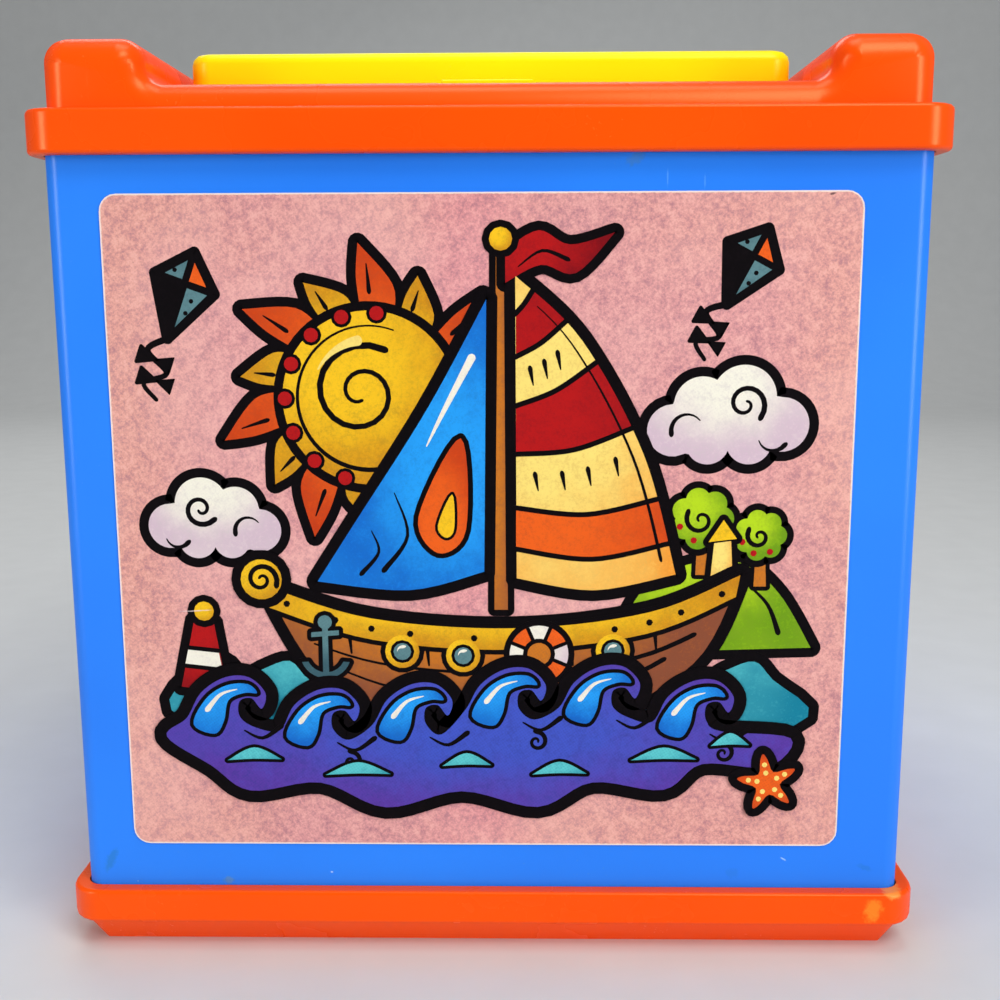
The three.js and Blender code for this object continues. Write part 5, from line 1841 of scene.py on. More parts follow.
@dataclass
class Fasteners:
    """The box's screws, of which one tree makes each kind at every place."""

    recess_share: float = 0.62
    recess_width: float = 0.22
    turn: float = 0.7

    def build(self) -> None:
        """Replace each kind of screw by a finished set."""
        self.build_set("base_screw", (1, 2, 3, 4))
        self.build_set("clip_screw", (1, 2, 3), head_up=True)
        self.build_set("catch_screw", ("left", "right"))

    def build_set(self, name: str, places: Sequence[object], head_up: bool = False) -> None:
        """Make one set of screws, all of one size.

        Args:
            name: The set's name.
            places: What the names of its CAD screws end in.
            head_up: Whether the heads are at the top.
        """
        nodes = ["%s_%s" % (name, place) for place in places]
        boxes = [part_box(node) for node in nodes]
        low, high = boxes[0]
        radius, length = (high.x - low.x) / 2, high.z - low.z
        head, shank = self.sizes(nodes[0], head_up)
        screw = skin(name + "_body", lathed(self.profile(radius, head, shank, length), 40), STEEL)
        reach, half = radius * self.recess_share, radius * self.recess_width / 2
        cross = ((reach, half), (half, reach))
        screw = carved(screw, [(Vector(), Vector((*arm, head * 0.55))) for arm in cross])
        if head_up:
            screw.transform(Matrix.Translation((0, 0, length)) @ Matrix.Rotation(math.pi, 4, "X"))
        shape = NodeShape(name + "s", turn=self.turn)
        graph = shape.graph
        carrier = bpy.data.objects.new(name + "_pattern", screw)
        spots = graph.add("GeometryNodeMeshToPoints", {0: shape.given["path"]})
        pattern = graph.named("GeometryNodeObjectInfo", {"Object": carrier}, transform_space="ORIGINAL")["Geometry"]
        turned = graph.xyz(z=graph.add("GeometryNodeInputIndex") * shape.given["turn"])
        spread = {"Points": spots, "Instance": pattern, "Rotation": turned}
        seats = [[Vector(((a.x + b.x) / 2, (a.y + b.y) / 2, a.z))] for a, b in boxes]
        mesh = shape.finish(graph.add("GeometryNodeInstanceOnPoints", spread), STEEL, seats)
        bpy.data.objects.remove(carrier)
        add_piece(name + "s", mesh, "box", "steel", *nodes)

    def sizes(self, node: str, head_up: bool) -> Point:
        """Return a CAD screw's head height and shank radius, read from its points.

        Args:
            node: The CAD screw.
            head_up: Whether its head is at the top.

        Returns:
            The head's height and the shank's radius.
        """
        low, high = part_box(node)
        middle = (low + high) / 2
        spots = (vertex.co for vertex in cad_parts[node].data.vertices)
        places = [(math.hypot(spot.x - middle.x, spot.y - middle.y), spot.z) for spot in spots]
        widest = max(r for r, _ in places)
        rim = [z for r, z in places if r > 0.97 * widest]
        head = high.z - min(rim) if head_up else max(rim) - low.z
        return head, max(r for r, z in places if r < 0.8 * widest)

    def profile(self, radius: float, head: float, shank: float, length: float) -> list[Point]:
        """Return a pan-head screw's outline from its head's crown to its tip, with a thread on its shank.

        Args:
            radius: The head's radius.
            head: The head's height.
            shank: The shank's radius.
            length: The whole length.

        Returns:
            The radius and height of each ring.
        """
        crown = map(math.radians, (8, 25, 45, 65, 90))
        points = [(radius * math.sin(a), head * 0.55 * (1 - math.cos(a))) for a in crown]
        points += [(radius, head * 0.8), (radius * 0.96, head), (shank * 0.86, head)]
        pitch = shank * 0.62
        for i in range(int((length - head - shank) / pitch)):
            z = head + 0.2 * pitch + i * pitch
            points += [(shank * 0.8, z), (shank, z + 0.42 * pitch), (shank, z + 0.52 * pitch)]
        return [*points, (shank * 0.78, length - shank * 0.8), (shank * 0.2, length)]


@dataclass
class Spring:
    """The coil spring and the pleated cloth sleeve round it, both stretched between the box and the puppet."""

    turns: float = 10.0
    dead_share: float = 0.72
    end_rise: float = 4.7 * MM
    wire: float = 2.4 * MM
    radius: float = 27 * MM
    steps: int = 720
    pleats: int = 11
    pleat_steps: int = 8
    pleat_depth: float = 5.2 * MM
    cloth: float = 0.7 * MM

    def build(self) -> None:
        """Make both pieces."""
        self.build_coil()
        self.build_sleeve()

    def stretched(
        self, name: str, mesh: bpy.types.Mesh, slot: str, node: str, low: float, high: float
    ) -> bpy.types.Object:
        """Put a piece in the scene in its place and hide the CAD node that it stands for.

        Args:
            name: The piece's name.
            mesh: Its mesh.
            slot: The record's material slot; not used.
            node: The CAD node that it stands for.
            low: The height of its end at the box; not used.
            high: The height of its end at the puppet; not used.

        Returns:
            The new object.
        """
        piece = link_object(name, mesh)
        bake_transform(piece)
        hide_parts(node)
        log.info("%s: %d faces, box to jack", name, len(mesh.polygons))
        return piece

    def build_coil(self) -> None:
        """Wind the wire: flat end turns, then an even pitch."""
        low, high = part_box("coil_spring")
        shape = NodeShape("coil_wire", turns=self.turns, radius=self.radius, wire=self.wire / 2, steps=self.steps)
        graph, given = shape.graph, shape.given
        turn = graph.add("GeometryNodeInputIndex") / (given["steps"] - 1.0) * given["turns"]
        rise = self.rise(graph, turn, given["turns"], high.z - low.z - self.wire)
        across, along = (graph.math(way, turn * (2 * math.pi)) * given["radius"] for way in ("COSINE", "SINE"))
        place = graph.xyz(across, along, rise + (low.z + self.wire / 2))
        line = graph.add("GeometryNodeMeshLine", {"Count": given["steps"]})
        wound = graph.add("GeometryNodeSetPosition", {"Geometry": line, "Position": place})
        section = graph.add("GeometryNodeCurvePrimitiveCircle", {"Resolution": 12, "Radius": given["wire"]})
        tube = {"Curve": graph.add("GeometryNodeMeshToCurve", {0: wound}), "Profile Curve": section, "Fill Caps": True}
        mesh = shade_smooth(shape.finish(graph.add("GeometryNodeCurveToMesh", tube), STEEL))
        self.stretched("coil_wire", mesh, "steel", "coil_spring", low.z + self.wire, high.z - self.wire)

    def rise(self, graph: Graph, turn: Wire, last: Wire, full: float) -> Wire:
        """Return the wire's height after some turns.

        Args:
            graph: The tree's nodes.
            turn: How many turns the wire has made.
            last: How many it makes in all.
            full: The height from end to end.

        Returns:
            The height.
        """
        first, final = (graph.step(part, self.dead_share, 1.0, 0.0, self.end_rise) for part in (turn, last - turn))
        body = graph.math("MAXIMUM", graph.math("MINIMUM", turn, last - 1.0) - 1.0, 0.0)
        return first + body / (last - 2.0) * (full - 2 * self.end_rise) + (self.end_rise - final)

    def build_sleeve(self) -> None:
        """Pleat the sleeve as a cloth with an inner face."""
        low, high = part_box("cloth_sleeve")
        outer = high.x - self.cloth
        inner = outer - self.pleat_depth

        def place(share: float, turn: float) -> Vector:
            """Return a point of the pleated cloth."""
            fold = (0.5 - 0.5 * math.cos(2 * math.pi * self.pleats * share)) ** 0.8
            spot = polar(turn, 1.0, share * self.pleats * 0.7)
            slack = 0.35 * MM * ripple(spot, 2.3) + 0.16 * MM * math.sin(36 * turn + 3 * math.sin(share * 60))
            lift = 0.35 * MM * ripple(spot + Vector((7, 3, 1)), 1.7) * round_profile(share, 0.1)
            z = low.z + self.cloth + (high.z - low.z - 2 * self.cloth) * share
            return polar(turn, inner + (outer - inner) * fold + slack - 0.3 * MM, z + lift)

        rings = rings_of(shares(self.pleats * self.pleat_steps), 144, place)
        scale = Vector((1 - self.cloth / inner, 1 - self.cloth / inner, 1))
        inside = [[p * scale for p in ring] for ring in reversed(rings)]
        mesh = skin("sleeve_cloth", rings + inside, RED_CLOTH, looped=True)
        piece = self.stretched("sleeve_cloth", mesh, "red_cloth", "cloth_sleeve", low.z, high.z)
        length = sum((a[0] - b[0]).length for a, b in zip(rings, rings[1:]))


@dataclass
class Head:
    """The vinyl head with its neck, its painted face, its nose and its hair."""

    centre: Vector
    radius: float
    tall: float
    eye: Vector = field(default_factory=lambda: Vector((9.6, -24.0, 0.2)) * MM)
    eye_half: Vector = field(default_factory=lambda: Vector((3.4, 4.0, 1.9)) * MM)
    cheek: Vector = field(default_factory=lambda: Vector((13.6, -20.6, -7.4)) * MM)
    chin: Vector = field(default_factory=lambda: Vector((0, -18.0, -18.5)) * MM)
    smile: Vector = field(default_factory=lambda: Vector((0, -21.0, -12.4)) * MM)
    smile_bend: float = 34.0
    smile_half: float = 10.5 * MM

    def build(self) -> None:
        """Make the head, the eyes, the brows, the lips, the nose and the hair."""
        self.build_skull()
        self.build_eyes()
        self.build_lines()
        nose = fused("nose_ball", node_copy("nose", RED_PLASTIC), 0.35 * MM, 3)
        add_piece("nose_ball", nose, "jack", "red_plastic", "nose")
        self.build_hair()

    def on_face(self, x: float, z: float, proud: float = 0.0) -> Vector:
        """Return the point of the face's front at a place across and up from the head's middle.

        Args:
            x: How far across.
            z: How far up.
            proud: How far in front of the face.

        Returns:
            The point.
        """
        r = self.radius + proud
        left = 1 - (x / r) ** 2 - (z / (r * self.tall)) ** 2
        return self.centre + Vector((x, -r * math.sqrt(max(left, 0.0)), z))

    def build_skull(self) -> None:
        """Model the head as a ball with eye sockets, cheeks, a smile, a chin and a flat neck."""
        low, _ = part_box("head")

        def place(up: float, turn: float) -> Vector:
            """Return a point of the head."""
            way = polar(turn, math.sin(up), -math.cos(up))
            spot = Vector((way.x, way.y, way.z * self.tall)) * self.radius
            spot += way * self.relief(spot) + self.centre
            spot.z = max(spot.z, low.z)
            return spot

        rings = [ring for ring in globe(84, 120, place) if max(p.z for p in ring) > low.z]
        neck = ((10.0, 85.2), (10.2, 86.4), (10.3, 88.4), (10.9, 90.2), (12.6, low.z / MM))
        rings = lathed(((r * MM, z * MM) for r, z in neck), 120) + rings
        cheeks = tuple(self.centre + self.cheek * Vector((side, 1, 1)) for side in (-1, 1))
        paint = FacePaint("face_vinyl", cheeks, self.centre + self.smile, smile_bend=self.smile_bend)
        add_piece("face", skin("face", rings, paint), "jack", "flesh_plastic", "head")

    def relief(self, spot: Vector) -> float:
        """Return how far the face stands out or in at a point of the plain ball.

        Args:
            spot: The point, from the head's middle.

        Returns:
            The distance in metres.
        """
        out = 1.5 * MM * hill(spot, self.chin, 7.5 * MM)
        for side in (-1, 1):
            flip = Vector((side, 1, 1))
            out += 1.7 * MM * hill(spot, self.cheek * flip, 10 * MM)
            out -= 1.2 * MM * hill(spot, self.eye * flip, 7 * MM)
        if spot.y < -10 * MM and abs(spot.x) < self.smile_half:
            fade = 1 - (abs(spot.x) / self.smile_half) ** 4
            away = spot.z - self.smile.z - self.smile_bend * spot.x**2
            out -= 0.9 * MM * fade * math.exp(-((away / (1.1 * MM)) ** 2))
        return out

    def build_eyes(self) -> None:
        """Set a glossy painted dome in each socket."""
        wide, tall, deep = self.eye_half
        domes = []
        for s in (-1, 1):
            centre = self.on_face(s * self.eye.x, self.eye.z, -deep)
            out = (centre - self.centre).normalized()
            side = UP.cross(out).normalized()
            up = out.cross(side)

            def place(tilt: float, turn: float) -> Vector:
                """Return a point of the dome."""
                x, y = math.sin(tilt) * math.cos(turn), math.sin(tilt) * math.sin(turn)
                return centre + side * x * wide + up * y * tall + out * math.cos(tilt) * deep

            dome = skin("eye", globe(22, 40, place), EYE_PAINT)
            layer = dome.uv_layers.new(name="eye")
            for loop in dome.loops:
                away = dome.vertices[loop.vertex_index].co - centre
                layer.data[loop.index].uv = (away.dot(side) / wide, away.dot(up) / tall)
            domes.append(dome)
        add_piece("eyes", join_meshes("eyes", domes), "jack", "white_plastic")

    def build_lines(self) -> None:
        """Lay the lips and the brows on the face."""

        def lip(share: float, _: float) -> float:
            """Return the lips' half thickness."""
            return 1.55 * MM * (0.35 + 0.65 * math.sin(math.pi * share)) * round_profile(share)

        def brow(share: float, _: float) -> float:
            """Return a brow's half thickness."""
            return 0.85 * MM * (1.1 - 0.75 * share) * round_profile(share)

        span = [(19.2 * share - 9.6) * MM for share in shares(28)]
        path = [self.on_face(x, self.smile.z + self.smile_bend * x * x, -0.5 * MM) for x in span]
        add_piece("lips", skin("lips", swept(path, lip, 18), RED_PLASTIC), "jack", "red_plastic")
        brows = []
        for s in (-1, 1):
            points = [self.on_face(s * x * MM, z * MM) for x, z in ((5.2, 4.5), (8.2, 5.9), (11.6, 5.5), (14.4, 3.5))]
            brows.append(skin("brow", swept(smooth_path(points, 8), brow, 14), BLACK_PAINT))
        add_piece("brows", join_meshes("brows", brows), "jack", "flesh_plastic")

    def build_hair(self) -> None:
        """Tuck curls of yarn under the hood at each temple."""

        def strand(share: float, turn: float) -> float:
            """Return the yarn's radius, twisted from three plies."""
            return 0.8 * MM * round_profile(share, 0.1) * (1 + 0.08 * math.cos(3 * turn + 60 * share))

        curls = []
        for s in (-1, 1):
            for i in range(9):
                depth = (2.9 * i - 15.0) * MM
                height = (-3.0 - 0.42 * 2.9 * i - 1.4 * (i % 2)) * MM
                across = s * math.sqrt(max(self.radius**2 - depth**2 - (height / self.tall) ** 2, 0))
                root = self.centre + Vector((across - s * 0.4 * MM, depth, height))
                out = Vector((across, depth, 0)).normalized()
                side = UP.cross(out)
                reach = 1.9 * MM * (0.75 + 0.25 * math.sin(i * 2.1))
                path = []
                for share in shares(24):
                    turn = 2 * math.pi * 1.6 * share + i
                    curl = out * (1.6 * MM + reach * math.cos(turn)) + side * reach * math.sin(turn)
                    path.append(root + curl - UP * share * 7.5 * MM)
                curls.append(skin("curl", swept(path, strand, 10), YARN))
        add_piece("hair_curls", join_meshes("hair_curls", curls), "jack", "red_cloth")


@dataclass
class Hood:
    """The two-coloured hood with its horns, hem, stitches and bells."""

    centre: Vector
    head_radius: float
    tall: float
    points: int = 96

    def build(self) -> None:
        """Make both halves, their trimming and the bells."""
        self.build_half(-1, "cap_left", BLUE_FELT, "blue_cloth")
        self.build_half(1, "cap_right", YELLOW_FELT, "yellow_cloth")
        self.build_trim()
        for name in ("bell_left", "bell_right"):
            self.build_bell(name)

    def build_half(self, side: int, node: str, finish: Felt, slot: str) -> None:
        """Sew one half: the CAD form fused soft, with folds at the horn's root and puckers along the seam.

        Args:
            side: -1 for the left half, 1 for the right.
            node: The CAD node that it stands for.
            finish: Its felt.
            slot: The record's material slot that it takes.
        """

        def move(spot: Vector) -> float:
            """Return a point's fold."""
            local = spot - self.centre
            if (local.length - self.head_radius) / MM < 1.0 and local.z < 30 * MM:
                return 0.0
            x, y, z = local / MM
            pucker = math.exp(-abs(x) / 2.6) * 0.28 * math.sin(z * 2.1 + y * 1.9)
            root = math.exp(-(((z - 27) / 9) ** 2))
            fold = root * 0.55 * math.sin(9 * math.atan2(y, x * side - 12) + 0.09 * z)
            return MM * (pucker + fold + 0.3 * ripple(local / MM, 0.16) - 0.15)

        cloth = press(fused(node + "_cloth", node_copy(node, finish), 0.75 * MM, 5), move)
        add_piece(node + "_cloth", cloth, "jack", slot, node)

    def rim_point(self, turn: float, proud: float) -> Vector:
        """Return a point of the hood's edge, which rises to the front, at an angle round the head.

        Args:
            turn: The angle.
            proud: How far out from the head.

        Returns:
            The point.
        """
        r = self.head_radius + proud
        out = r
        for _ in range(12):
            z = -2.0 * MM - 22.0 / 52.0 * out * math.sin(turn)
            out = math.sqrt(max(r * r - (z / self.tall) ** 2, 0))
        return self.centre + polar(turn, out, z)

    def build_trim(self) -> None:
        """Roll a hem round the edge and stitch it."""

        def half(i: int) -> Point:
            """Return a section's half width and height."""
            fat = MM * (1 + 0.05 * math.sin(i * 2.4))
            return 1.35 * fat, 1.7 * fat

        rim = [self.rim_point(turn, 1.3 * MM) for turn in turns(self.points)]
        roll = rolled_edge(rim, lambda spot: (spot - self.centre).normalized(), half, 14)
        add_piece("hood_hem", skin("hood_hem", roll, RED_CLOTH, looped=True), "jack", "red_cloth")
        lines = []
        for height in (2.6 * MM, 3.6 * MM):
            row = []
            for share in shares(self.points):
                spot = self.rim_point(2 * math.pi * share, 0.0) - self.centre
                way = Vector((spot.x, spot.y, (spot.z + height) / self.tall)).normalized()
                row.append(self.centre + way * Vector((1, 1, self.tall)) * (self.head_radius + 2.35 * MM))
            lines.append(row)
        thread = stitches("hood_stitches", lines, THREAD, 2.1 * MM, 0.22 * MM)
        add_piece("hood_stitches", thread, "jack", "white_cloth")

    def build_bell(self, name: str) -> None:
        """Make a brass bell: a slotted ball with two holes, a waist bead, a loop and its pea.

        Args:
            name: The CAD node that it stands for.
        """
        low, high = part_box(name)
        middle = (low + high) / 2
        radius = (high.x - low.x) / 2
        profile = [spoke(0, 0, radius, degrees) for degrees in range(-86, 90, 4)]
        shell = [(r + (0.28 * MM if abs(z) < 0.3 * MM else 0), z) for r, z in profile]
        inside = [(r * 0.86, z * 0.86) for r, z in reversed(profile)]
        brass = skin(name + "_brass", lathed(shell + inside, 48, middle), BRASS, looped=True)
        foot = middle - UP * radius
        cuts = [(foot, Vector((radius * 1.5, 0.55 * MM, radius * 0.8)))]
        for side in (-0.55, 0.55):
            cuts.append((foot + Vector((side * radius, 0, 0)), Vector((0.9 * MM, 0.9 * MM, radius))))
        brass = shade_smooth(carved(brass, cuts))
        top = middle + UP * (radius + 0.35 * MM)
        loop = []
        for turn in turns(24):
            away = Vector((1.0 * math.cos(turn), 0, 0.9 * math.sin(turn))) * MM
            loop.append(oval(top + away, away.normalized(), Vector((0, 1, 0)), 0.32 * MM, 0.32 * MM, 10))
        eye = skin("bell_eye", loop, BRASS, looped=True)
        pea = ball(middle - UP * radius * 0.4, Vector((1.3, 1.3, 1.3)) * MM, STEEL, 12)
        add_piece(name + "_brass", join_meshes(name + "_brass", [brass, eye, pea]), "jack", "brass", name)


def level_out(spot: Vector) -> Vector:
    """Return the level way out from the upright axis at a point."""
    return Vector((spot.x, spot.y, 0)).normalized()


@dataclass
class Body:
    """The stuffed torso, the ruff, the arms and the gloved hands.

    The outline gives the torso's radius in millimetres at shares of its height.
    """

    panels: int = 8
    waves: int = 18
    ruff_inner: float = 10.8 * MM
    ruff_cloth: float = 0.55 * MM
    wrist: Vector = field(default_factory=lambda: Vector((40.5, -30.0, 83.4)))
    outline: tuple[Point, ...] = (
        (0.0, 33.2), (0.06, 35.4), (0.16, 36.6), (0.28, 36.8), (0.42, 36.1),
        (0.56, 34.2), (0.7, 30.8), (0.82, 25.6), (0.92, 19.0), (1.0, 12.6),
    )

    def build(self) -> None:
        """Make every piece of the body."""
        self.build_torso()
        self.build_ruff()
        for side, name in ((-1, "left"), (1, "right")):
            self.build_arm(side, name)
            self.build_hand(side, name)

    def torso_radius(self, share: float) -> float:
        """Return the torso's radius at a share of its height.

        Args:
            share: The share of the height.

        Returns:
            The radius in metres.
        """
        for (a, low), (b, high) in zip(self.outline, self.outline[1:]):
            if share <= b:
                return (low + (high - low) * (share - a) / (b - a)) * MM
        return self.outline[-1][1] * MM

    def build_torso(self) -> None:
        """Sew the torso from upright panels, puckered at each seam and gathered at the neck."""
        low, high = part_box("torso")

        def place(share: float, turn: float) -> Vector:
            """Return a point of the stuffed cloth."""
            phase = abs((turn * self.panels / (2 * math.pi) + 0.5) % 1 - 0.5)
            valley = math.exp(-phase * 26)
            pucker = 0.35 * math.exp(-phase * 10) * math.sin(share * 52 + 2 * math.cos(turn * 3))
            gather = max(share - 0.6, 0) * 1.32 * math.cos(turn * 40)
            slack = 0.5 * ripple(polar(turn, 1.0, share), 3.1)
            out = self.torso_radius(share) - MM * (1.3 * valley - pucker - gather - slack)
            return polar(turn, out, low.z + (high.z - low.z) * share)

        cloth = skin("torso_cloth", rings_of(shares(44), 240, place), BLUE_CLOTH)
        piece = add_piece("torso_cloth", cloth, "jack", "blue_cloth", "torso")
        self.build_torso_trim(low.z, high.z - low.z)

    def build_torso_trim(self, low: float, height: float) -> None:
        """Sew a hem at the torso's foot, stitch its seams and add two felt buttons.

        Args:
            low: The torso's foot.
            height: Its height.
        """

        def half(i: int) -> Point:
            """Return a section's half width and height."""
            fat = MM * (1 + 0.06 * math.sin(i * 2.2))
            return fat, 1.6 * fat

        foot = [polar(turn, self.torso_radius(0.07) + 0.1 * MM, low + 0.09 * height) for turn in turns(120)]
        hem = skin("torso_hem", rolled_edge(foot, level_out, half, 12), YELLOW_CLOTH, looped=True)
        add_piece("torso_hem", hem, "jack", "yellow_cloth")
        seam = [0.16 + 0.7 * share for share in shares(23)]
        lines = [
            [polar(turn + aside, self.torso_radius(share) - 0.05 * MM, low + height * share) for share in seam]
            for turn in turns(self.panels)
            for aside in (-0.045, 0.045)
        ]
        thread = stitches("torso_stitches", lines, THREAD, 2.0 * MM, 0.2 * MM)
        add_piece("torso_stitches", thread, "jack", "white_cloth")
        buttons = []
        for share in (0.3, 0.62):
            middle = Vector((0, -self.torso_radius(share) - 1.0 * MM, low + height * share))
            tuft = ball(middle, Vector((3.1, 2.4, 3.1)) * MM, YELLOW_FELT, 28)
            buttons.append(press(tuft, lambda spot: 0.3 * MM * ripple(spot / MM, 1.6)))
        add_piece("torso_buttons", join_meshes("torso_buttons", buttons), "jack", "yellow_cloth")

    def build_ruff(self) -> None:
        """Gather the ruff in two layers of deep waves."""
        low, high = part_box("ruff")
        self.ruff_layer("ruff_cloth", high.x - 0.9 * MM, (low.z + high.z) / 2, "torso_cloth", "ruff")
        self.ruff_layer("ruff_upper", high.x * 0.8, high.z + 0.6 * MM, "ruff_cloth")

    def ruff_layer(self, name: str, outer: float, middle: float, below: str, *nodes: str) -> None:
        """Make one layer of the ruff with its piped edge.

        Args:
            name: The layer's name.
            outer: Its radius.
            middle: The height of its neck edge.
            below: The piece that it rests on; not used.
            *nodes: The CAD node that it stands for.
        """

        def place(out: float, turn: float) -> Vector:
            """Return a point of the waved cloth."""
            share = (out - self.ruff_inner) / (27 * MM)
            swing = 2.5 * MM * share**0.7 * math.sin(self.waves * turn + 0.4 * math.sin(3 * turn))
            swing += 0.3 * MM * share * ripple(polar(turn, 1.0, share), 4.0)
            return polar(turn, out + 0.5 * MM * share * math.sin(5 * turn), middle + swing)

        outs = (self.ruff_inner + (outer - self.ruff_inner) * share for share in shares(14))
        rings = rings_of(outs, self.waves * 24, place)
        lift = UP * self.ruff_cloth / 2
        both = [[p + lift for p in ring] for ring in rings] + [[p - lift for p in ring] for ring in reversed(rings)]
        piece = add_piece(name, skin(name, both, WHITE_CLOTH, looped=True), "jack", "white_cloth", *nodes)
        edge = rings[-1]
        roll = rolled_edge(edge, level_out, lambda _: (0.6 * MM, 0.6 * MM), 8)
        trim = name + "_piping"
        trim = add_piece(trim, skin(trim, roll, RED_CLOTH, looped=True), "jack", "red_cloth")
        rim_length = sum((edge[i] - edge[i - 1]).length for i in range(len(edge)))
        pairs = list(zip(rings, rings[1:]))
        depth = sum((a[0] - b[0]).length for a, b in pairs)
        area = sum((b[i] - a[i]).cross(a[i - 1] - a[i]).length for a, b in pairs for i in range(len(edge)))
        area = min(area, rim_length * depth)

    def build_arm(self, side: int, name: str) -> None:
        """Stuff one arm, creased at the elbow, with a turned cuff at the wrist.

        Args:
            side: -1 for the left arm, 1 for the right.
            name: The side's name.
        """
        wrist = self.wrist * Vector((side, 1, 1))
        shoulder = ((27.0, -9.6, 73.2), (32.2, -17.0, 70.6), (37.6, -24.8, 69.4))
        shoulder = [Vector((side * x, y, z)) for x, y, z in shoulder]
        forearm = [wrist + Vector((0, y, z)) for y, z in ((0.6, -13.6), (0, -6.0), (0, -0.6))]
        path = smooth_path([spot * MM for spot in shoulder + forearm], 12)

        def radius(share: float, turn: float) -> float:
            """Return the sleeve's radius with its creases."""
            crease = math.exp(-(((share - 0.52) / 0.16) ** 2))
            fold = crease * 0.45 * math.sin(share * 95 + 1.3 * math.sin(turn))
            gather = 0.22 * math.cos(11 * turn) * max(share - 0.85, 0) / 0.15
            return MM * (6.1 + 0.35 * math.sin(share * 7) + fold + gather) * round_profile(share, 0.05)

        cloth = "arm_%s_cloth" % name
        piece = add_piece(cloth, skin(cloth, swept(path, radius, 40), BLUE_CLOTH), "jack", "blue_cloth", "arm_" + name)

        def cuff_place(row: Point, turn: float) -> Vector:
            """Return a point of the scalloped cuff, turned up round the wrist."""
            wave = 0.35 * math.cos(9 * turn) * max(row[0] - 6.8, 0)
            return (wrist + polar(turn, row[0] + wave * 0.6, row[1] + wave - 0.4)) * MM

        profile = ((5.6, -2.6), (7.0, -2.4), (7.6, -1.2), (7.9, 0.6), (7.5, 0.9), (6.6, 0.0), (5.4, -0.6))
        cuff = skin("cuff_" + name, rings_of(profile, 72, cuff_place), YELLOW_CLOTH, looped=True)
        add_piece("cuff_" + name, cuff, "jack", "yellow_cloth")

    def build_hand(self, side: int, name: str) -> None:
        """Stuff one glove: a palm, three fingers and a thumb fused in one skin.

        Args:
            side: -1 for the left hand, 1 for the right.
            name: The side's name.
        """
        low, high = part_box("hand_" + name)
        foot = Vector((side * self.wrist.x * MM, (low.y + high.y) / 2, low.z))

        def finger(share: float, _: float) -> float:
            """Return a finger's radius."""
            return 2.35 * MM * (1 + 0.1 * math.sin(math.pi * share)) * round_profile(share, 0.22)

        def thumb(share: float, _: float) -> float:
            """Return the thumb's radius."""
            return 2.2 * MM * round_profile(share, 0.24)

        def line(start: Sequence[float], end: Sequence[float]) -> list[Vector]:
            """Return a straight line of the hand between two places from its foot."""
            start, end = (foot + Vector((side * x, y, z)) * MM for x, y, z in (start, end))
            return [start.lerp(end, share) for share in shares(10)]

        bars = [
            ball(foot + UP * 6.4 * MM, Vector((5.6, 4.0, 6.4)) * MM, WHITE_FELT, 16),
            ball(foot + UP * 1.9 * MM, Vector((4.4, 3.9, 2.0)) * MM, WHITE_FELT, 16),
        ]
        for root, tip, tall in ((-3.2, -4.1, 15.7), (0.0, 0.0, 16.9), (3.2, 4.1, 15.7)):
            path = line((root, 0, 7.0), (tip, -0.6, tall))
            bars.append(skin("finger", swept(path, finger, 16), WHITE_FELT))
        bars.append(skin("thumb", swept(line((-3.0, -0.5, 4.6), (-7.9, -0.5, 9.2)), thumb, 16), WHITE_FELT))

        def slack(spot: Vector) -> float:
            """Return the small slack of the glove's cloth."""
            return 0.12 * MM * ripple(spot / MM, 0.7) - (0.1 * MM if spot.y > low.y else 0)

        cloth = "hand_%s_cloth" % name
        glove = press(fused(cloth, join_meshes("hand_draft", bars), 0.34 * MM, 4), slack)
        add_piece(cloth, glove, "jack", "white_cloth", "hand_" + name)
        lines = [
            [foot + Vector((side * x, 4.05 - 0.03 * abs(x), 4.4 + 0.5 * i)) * MM for i in range(8)]
            for x in (-2.3, 0.0, 2.3)
        ]
        thread = stitches("glove_stitches_" + name, lines, RED_CLOTH, 1.2 * MM, 0.2 * MM)
        add_piece("glove_stitches_" + name, thread, "jack", "red_cloth")


@dataclass
class Puppet:
    """The puppet, its spring, its sleeve and the cup that carries it."""

    head_radius: float = 26 * MM
    head_tall: float = 1.03

    def build(self) -> None:
        """Dress every piece of the puppet."""
        centre = UP * (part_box("head")[1].z - self.head_radius * self.head_tall)
        Spring().build()
        RefinedCopy("spring_cup", "jack", WHITE_PLASTIC).build()
        Body().build()
        Head(centre, self.head_radius, self.head_tall).build()
        Hood(centre, self.head_radius, self.head_tall).build()


@dataclass(frozen=True)
class FloorPaint(Finish):
    """The pale floor's faint cloudiness."""

    dark: Colour = srgb(205, 207, 207)
    light: Colour = srgb(214, 216, 216)

    def surface(self, graph: Graph, place: Wire) -> dict[str, Value]:
        """Return the shader's values."""
        return {"Base Color": graph.mix(graph.noise(place, 60, 3), self.dark, self.light), "Roughness": 0.9}


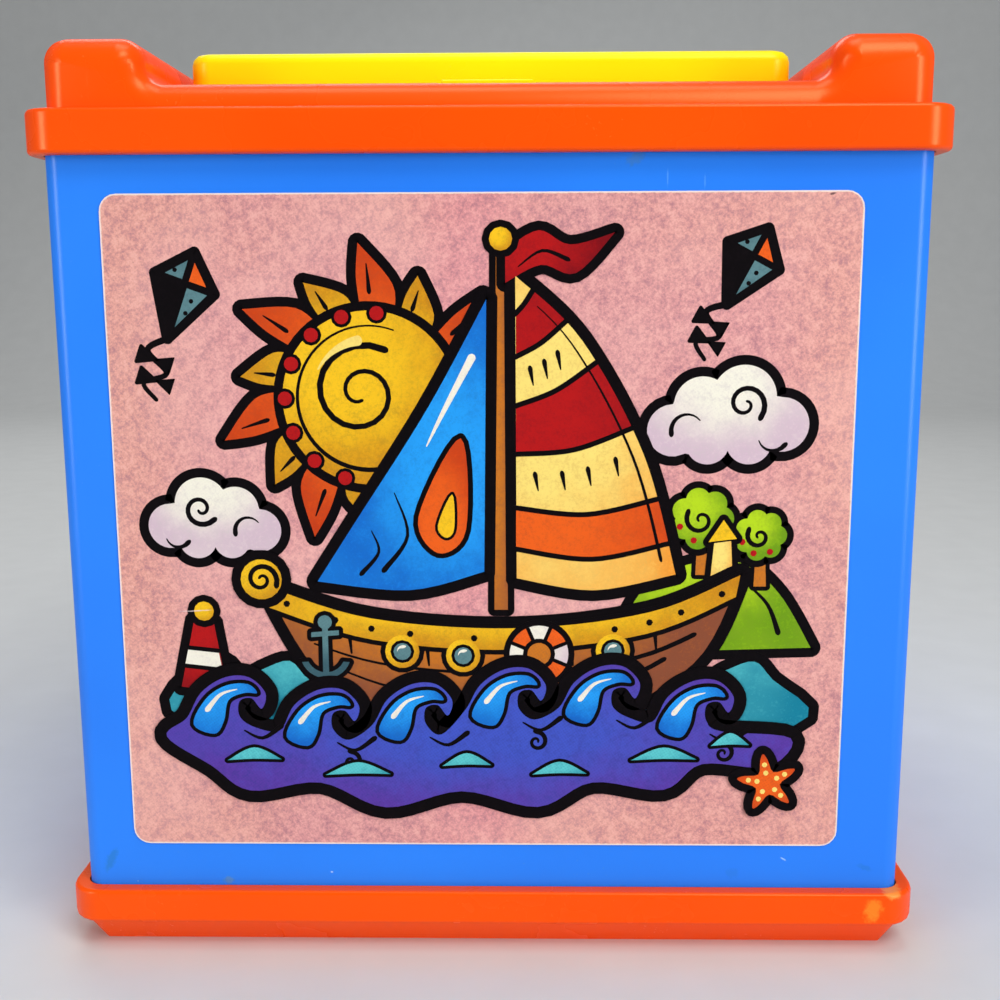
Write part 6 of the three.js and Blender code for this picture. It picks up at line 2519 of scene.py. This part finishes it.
@dataclass
class Studio:
    """The pale floor, the soft lights and the camera at the photograph's angle."""

    camera_at: tuple[float, float, float] = (0.00584, -0.29103, 0.12248)
    yaw: float = math.radians(-1.01)
    pitch: float = math.radians(9.815)
    roll: float = math.radians(-0.207)
    lens: float = 44.37
    sensor: float = 36.0
    floor_half: float = 2.6
    floor_back: float = 0.9
    floor_bend: float = 0.35
    backdrop_top: float = 1.6
    world_light: float = 0.23
    aim: Vector = field(default_factory=lambda: Vector((0, 0, 0.08)))

    def build(self) -> None:
        """Set up the whole studio."""
        self.build_floor()
        self.build_lights()
        self.build_camera()
        bpy.context.scene.view_settings.view_transform = "Standard"

    def build_floor(self) -> None:
        """Make the floor, which turns up into a backdrop behind the toy."""
        half, bend, back = self.floor_half, self.floor_bend, self.floor_back
        bent = (math.pi / 2 * share for share in shares(12))
        profile = [(back + bend * math.sin(a), bend * (1 - math.cos(a))) for a in bent]
        profile = [(-half, 0.0), *profile, (back + bend, self.backdrop_top)]
        verts = [(x, y, z) for y, z in profile for x in (-half, half)]
        faces = [(2 * i, 2 * i + 1, 2 * i + 3, 2 * i + 2) for i in range(len(profile) - 1)]
        mesh = bpy.data.meshes.new("studio_floor")
        mesh.from_pydata(verts, [], faces)
        mesh.materials.append(FloorPaint("studio_floor").material)
        link_object("studio_floor", shade_smooth(mesh))

    def build_lights(self) -> None:
        """Make the world's even light and five soft panels."""
        world = bpy.data.worlds.new("studio_world")
        world.use_nodes = True
        even = world.node_tree.nodes["Background"].inputs
        even["Color"].default_value = (1, 1, 1, 1)
        even["Strength"].default_value = self.world_light
        bpy.context.scene.world = world
        panels = (
            ("key_panel", (0.34, -0.62, 0.95), 0.5, 0.4, 4.7, 180),
            ("top_panel", (0.0, -0.12, 1.1), 0.6, 0.5, 2.7, 180),
            ("back_panel", (-0.2, 0.75, 0.9), 0.8, 0.5, 3.6, 180),
            ("left_panel", (-0.58, -0.55, 0.2), 0.18, 0.42, 0.42, 80),
            ("right_panel", (0.5, -0.5, 0.2), 0.18, 0.42, 0.46, 80),
        )
        for name, spot, wide, tall, power, spread in panels:
            lamp = bpy.data.lights.new(name, "AREA")
            lamp.shape = "RECTANGLE"
            lamp.size, lamp.size_y = wide, tall
            lamp.energy = power
            lamp.spread = math.radians(spread)
            panel = link_object(name, lamp)
            panel.location = spot
            panel.rotation_euler = (self.aim - Vector(spot)).to_track_quat("-Z", "Y").to_euler()

    def build_camera(self) -> None:
        """Make the camera from its place, its turn, its downward tilt and its roll."""
        ahead = Vector((math.sin(self.yaw), math.cos(self.yaw), 0))
        forward = ahead * math.cos(self.pitch) - UP * math.sin(self.pitch)
        level = Vector((math.cos(self.yaw), -math.sin(self.yaw), 0))
        upright = level.cross(forward)
        right = level * math.cos(self.roll) + upright * math.sin(self.roll)
        up = upright * math.cos(self.roll) - level * math.sin(self.roll)
        lens = bpy.data.cameras.new("photo_camera")
        lens.lens = self.lens
        lens.sensor_width = self.sensor
        lens.clip_start = 0.01
        camera = link_object("photo_camera", lens)
        turned = Matrix((right, up, -forward)).transposed().to_4x4()
        camera.matrix_world = Matrix.Translation(self.camera_at) @ turned
        bpy.context.scene.camera = camera


def main() -> None:
    """Dress the whole toy and set up the studio."""
    logging.basicConfig(level=logging.INFO, format="%(message)s")
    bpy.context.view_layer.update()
    Studio().build()
    Box().build()
    Puppet().build()


if __name__ == "__main__":
    main()
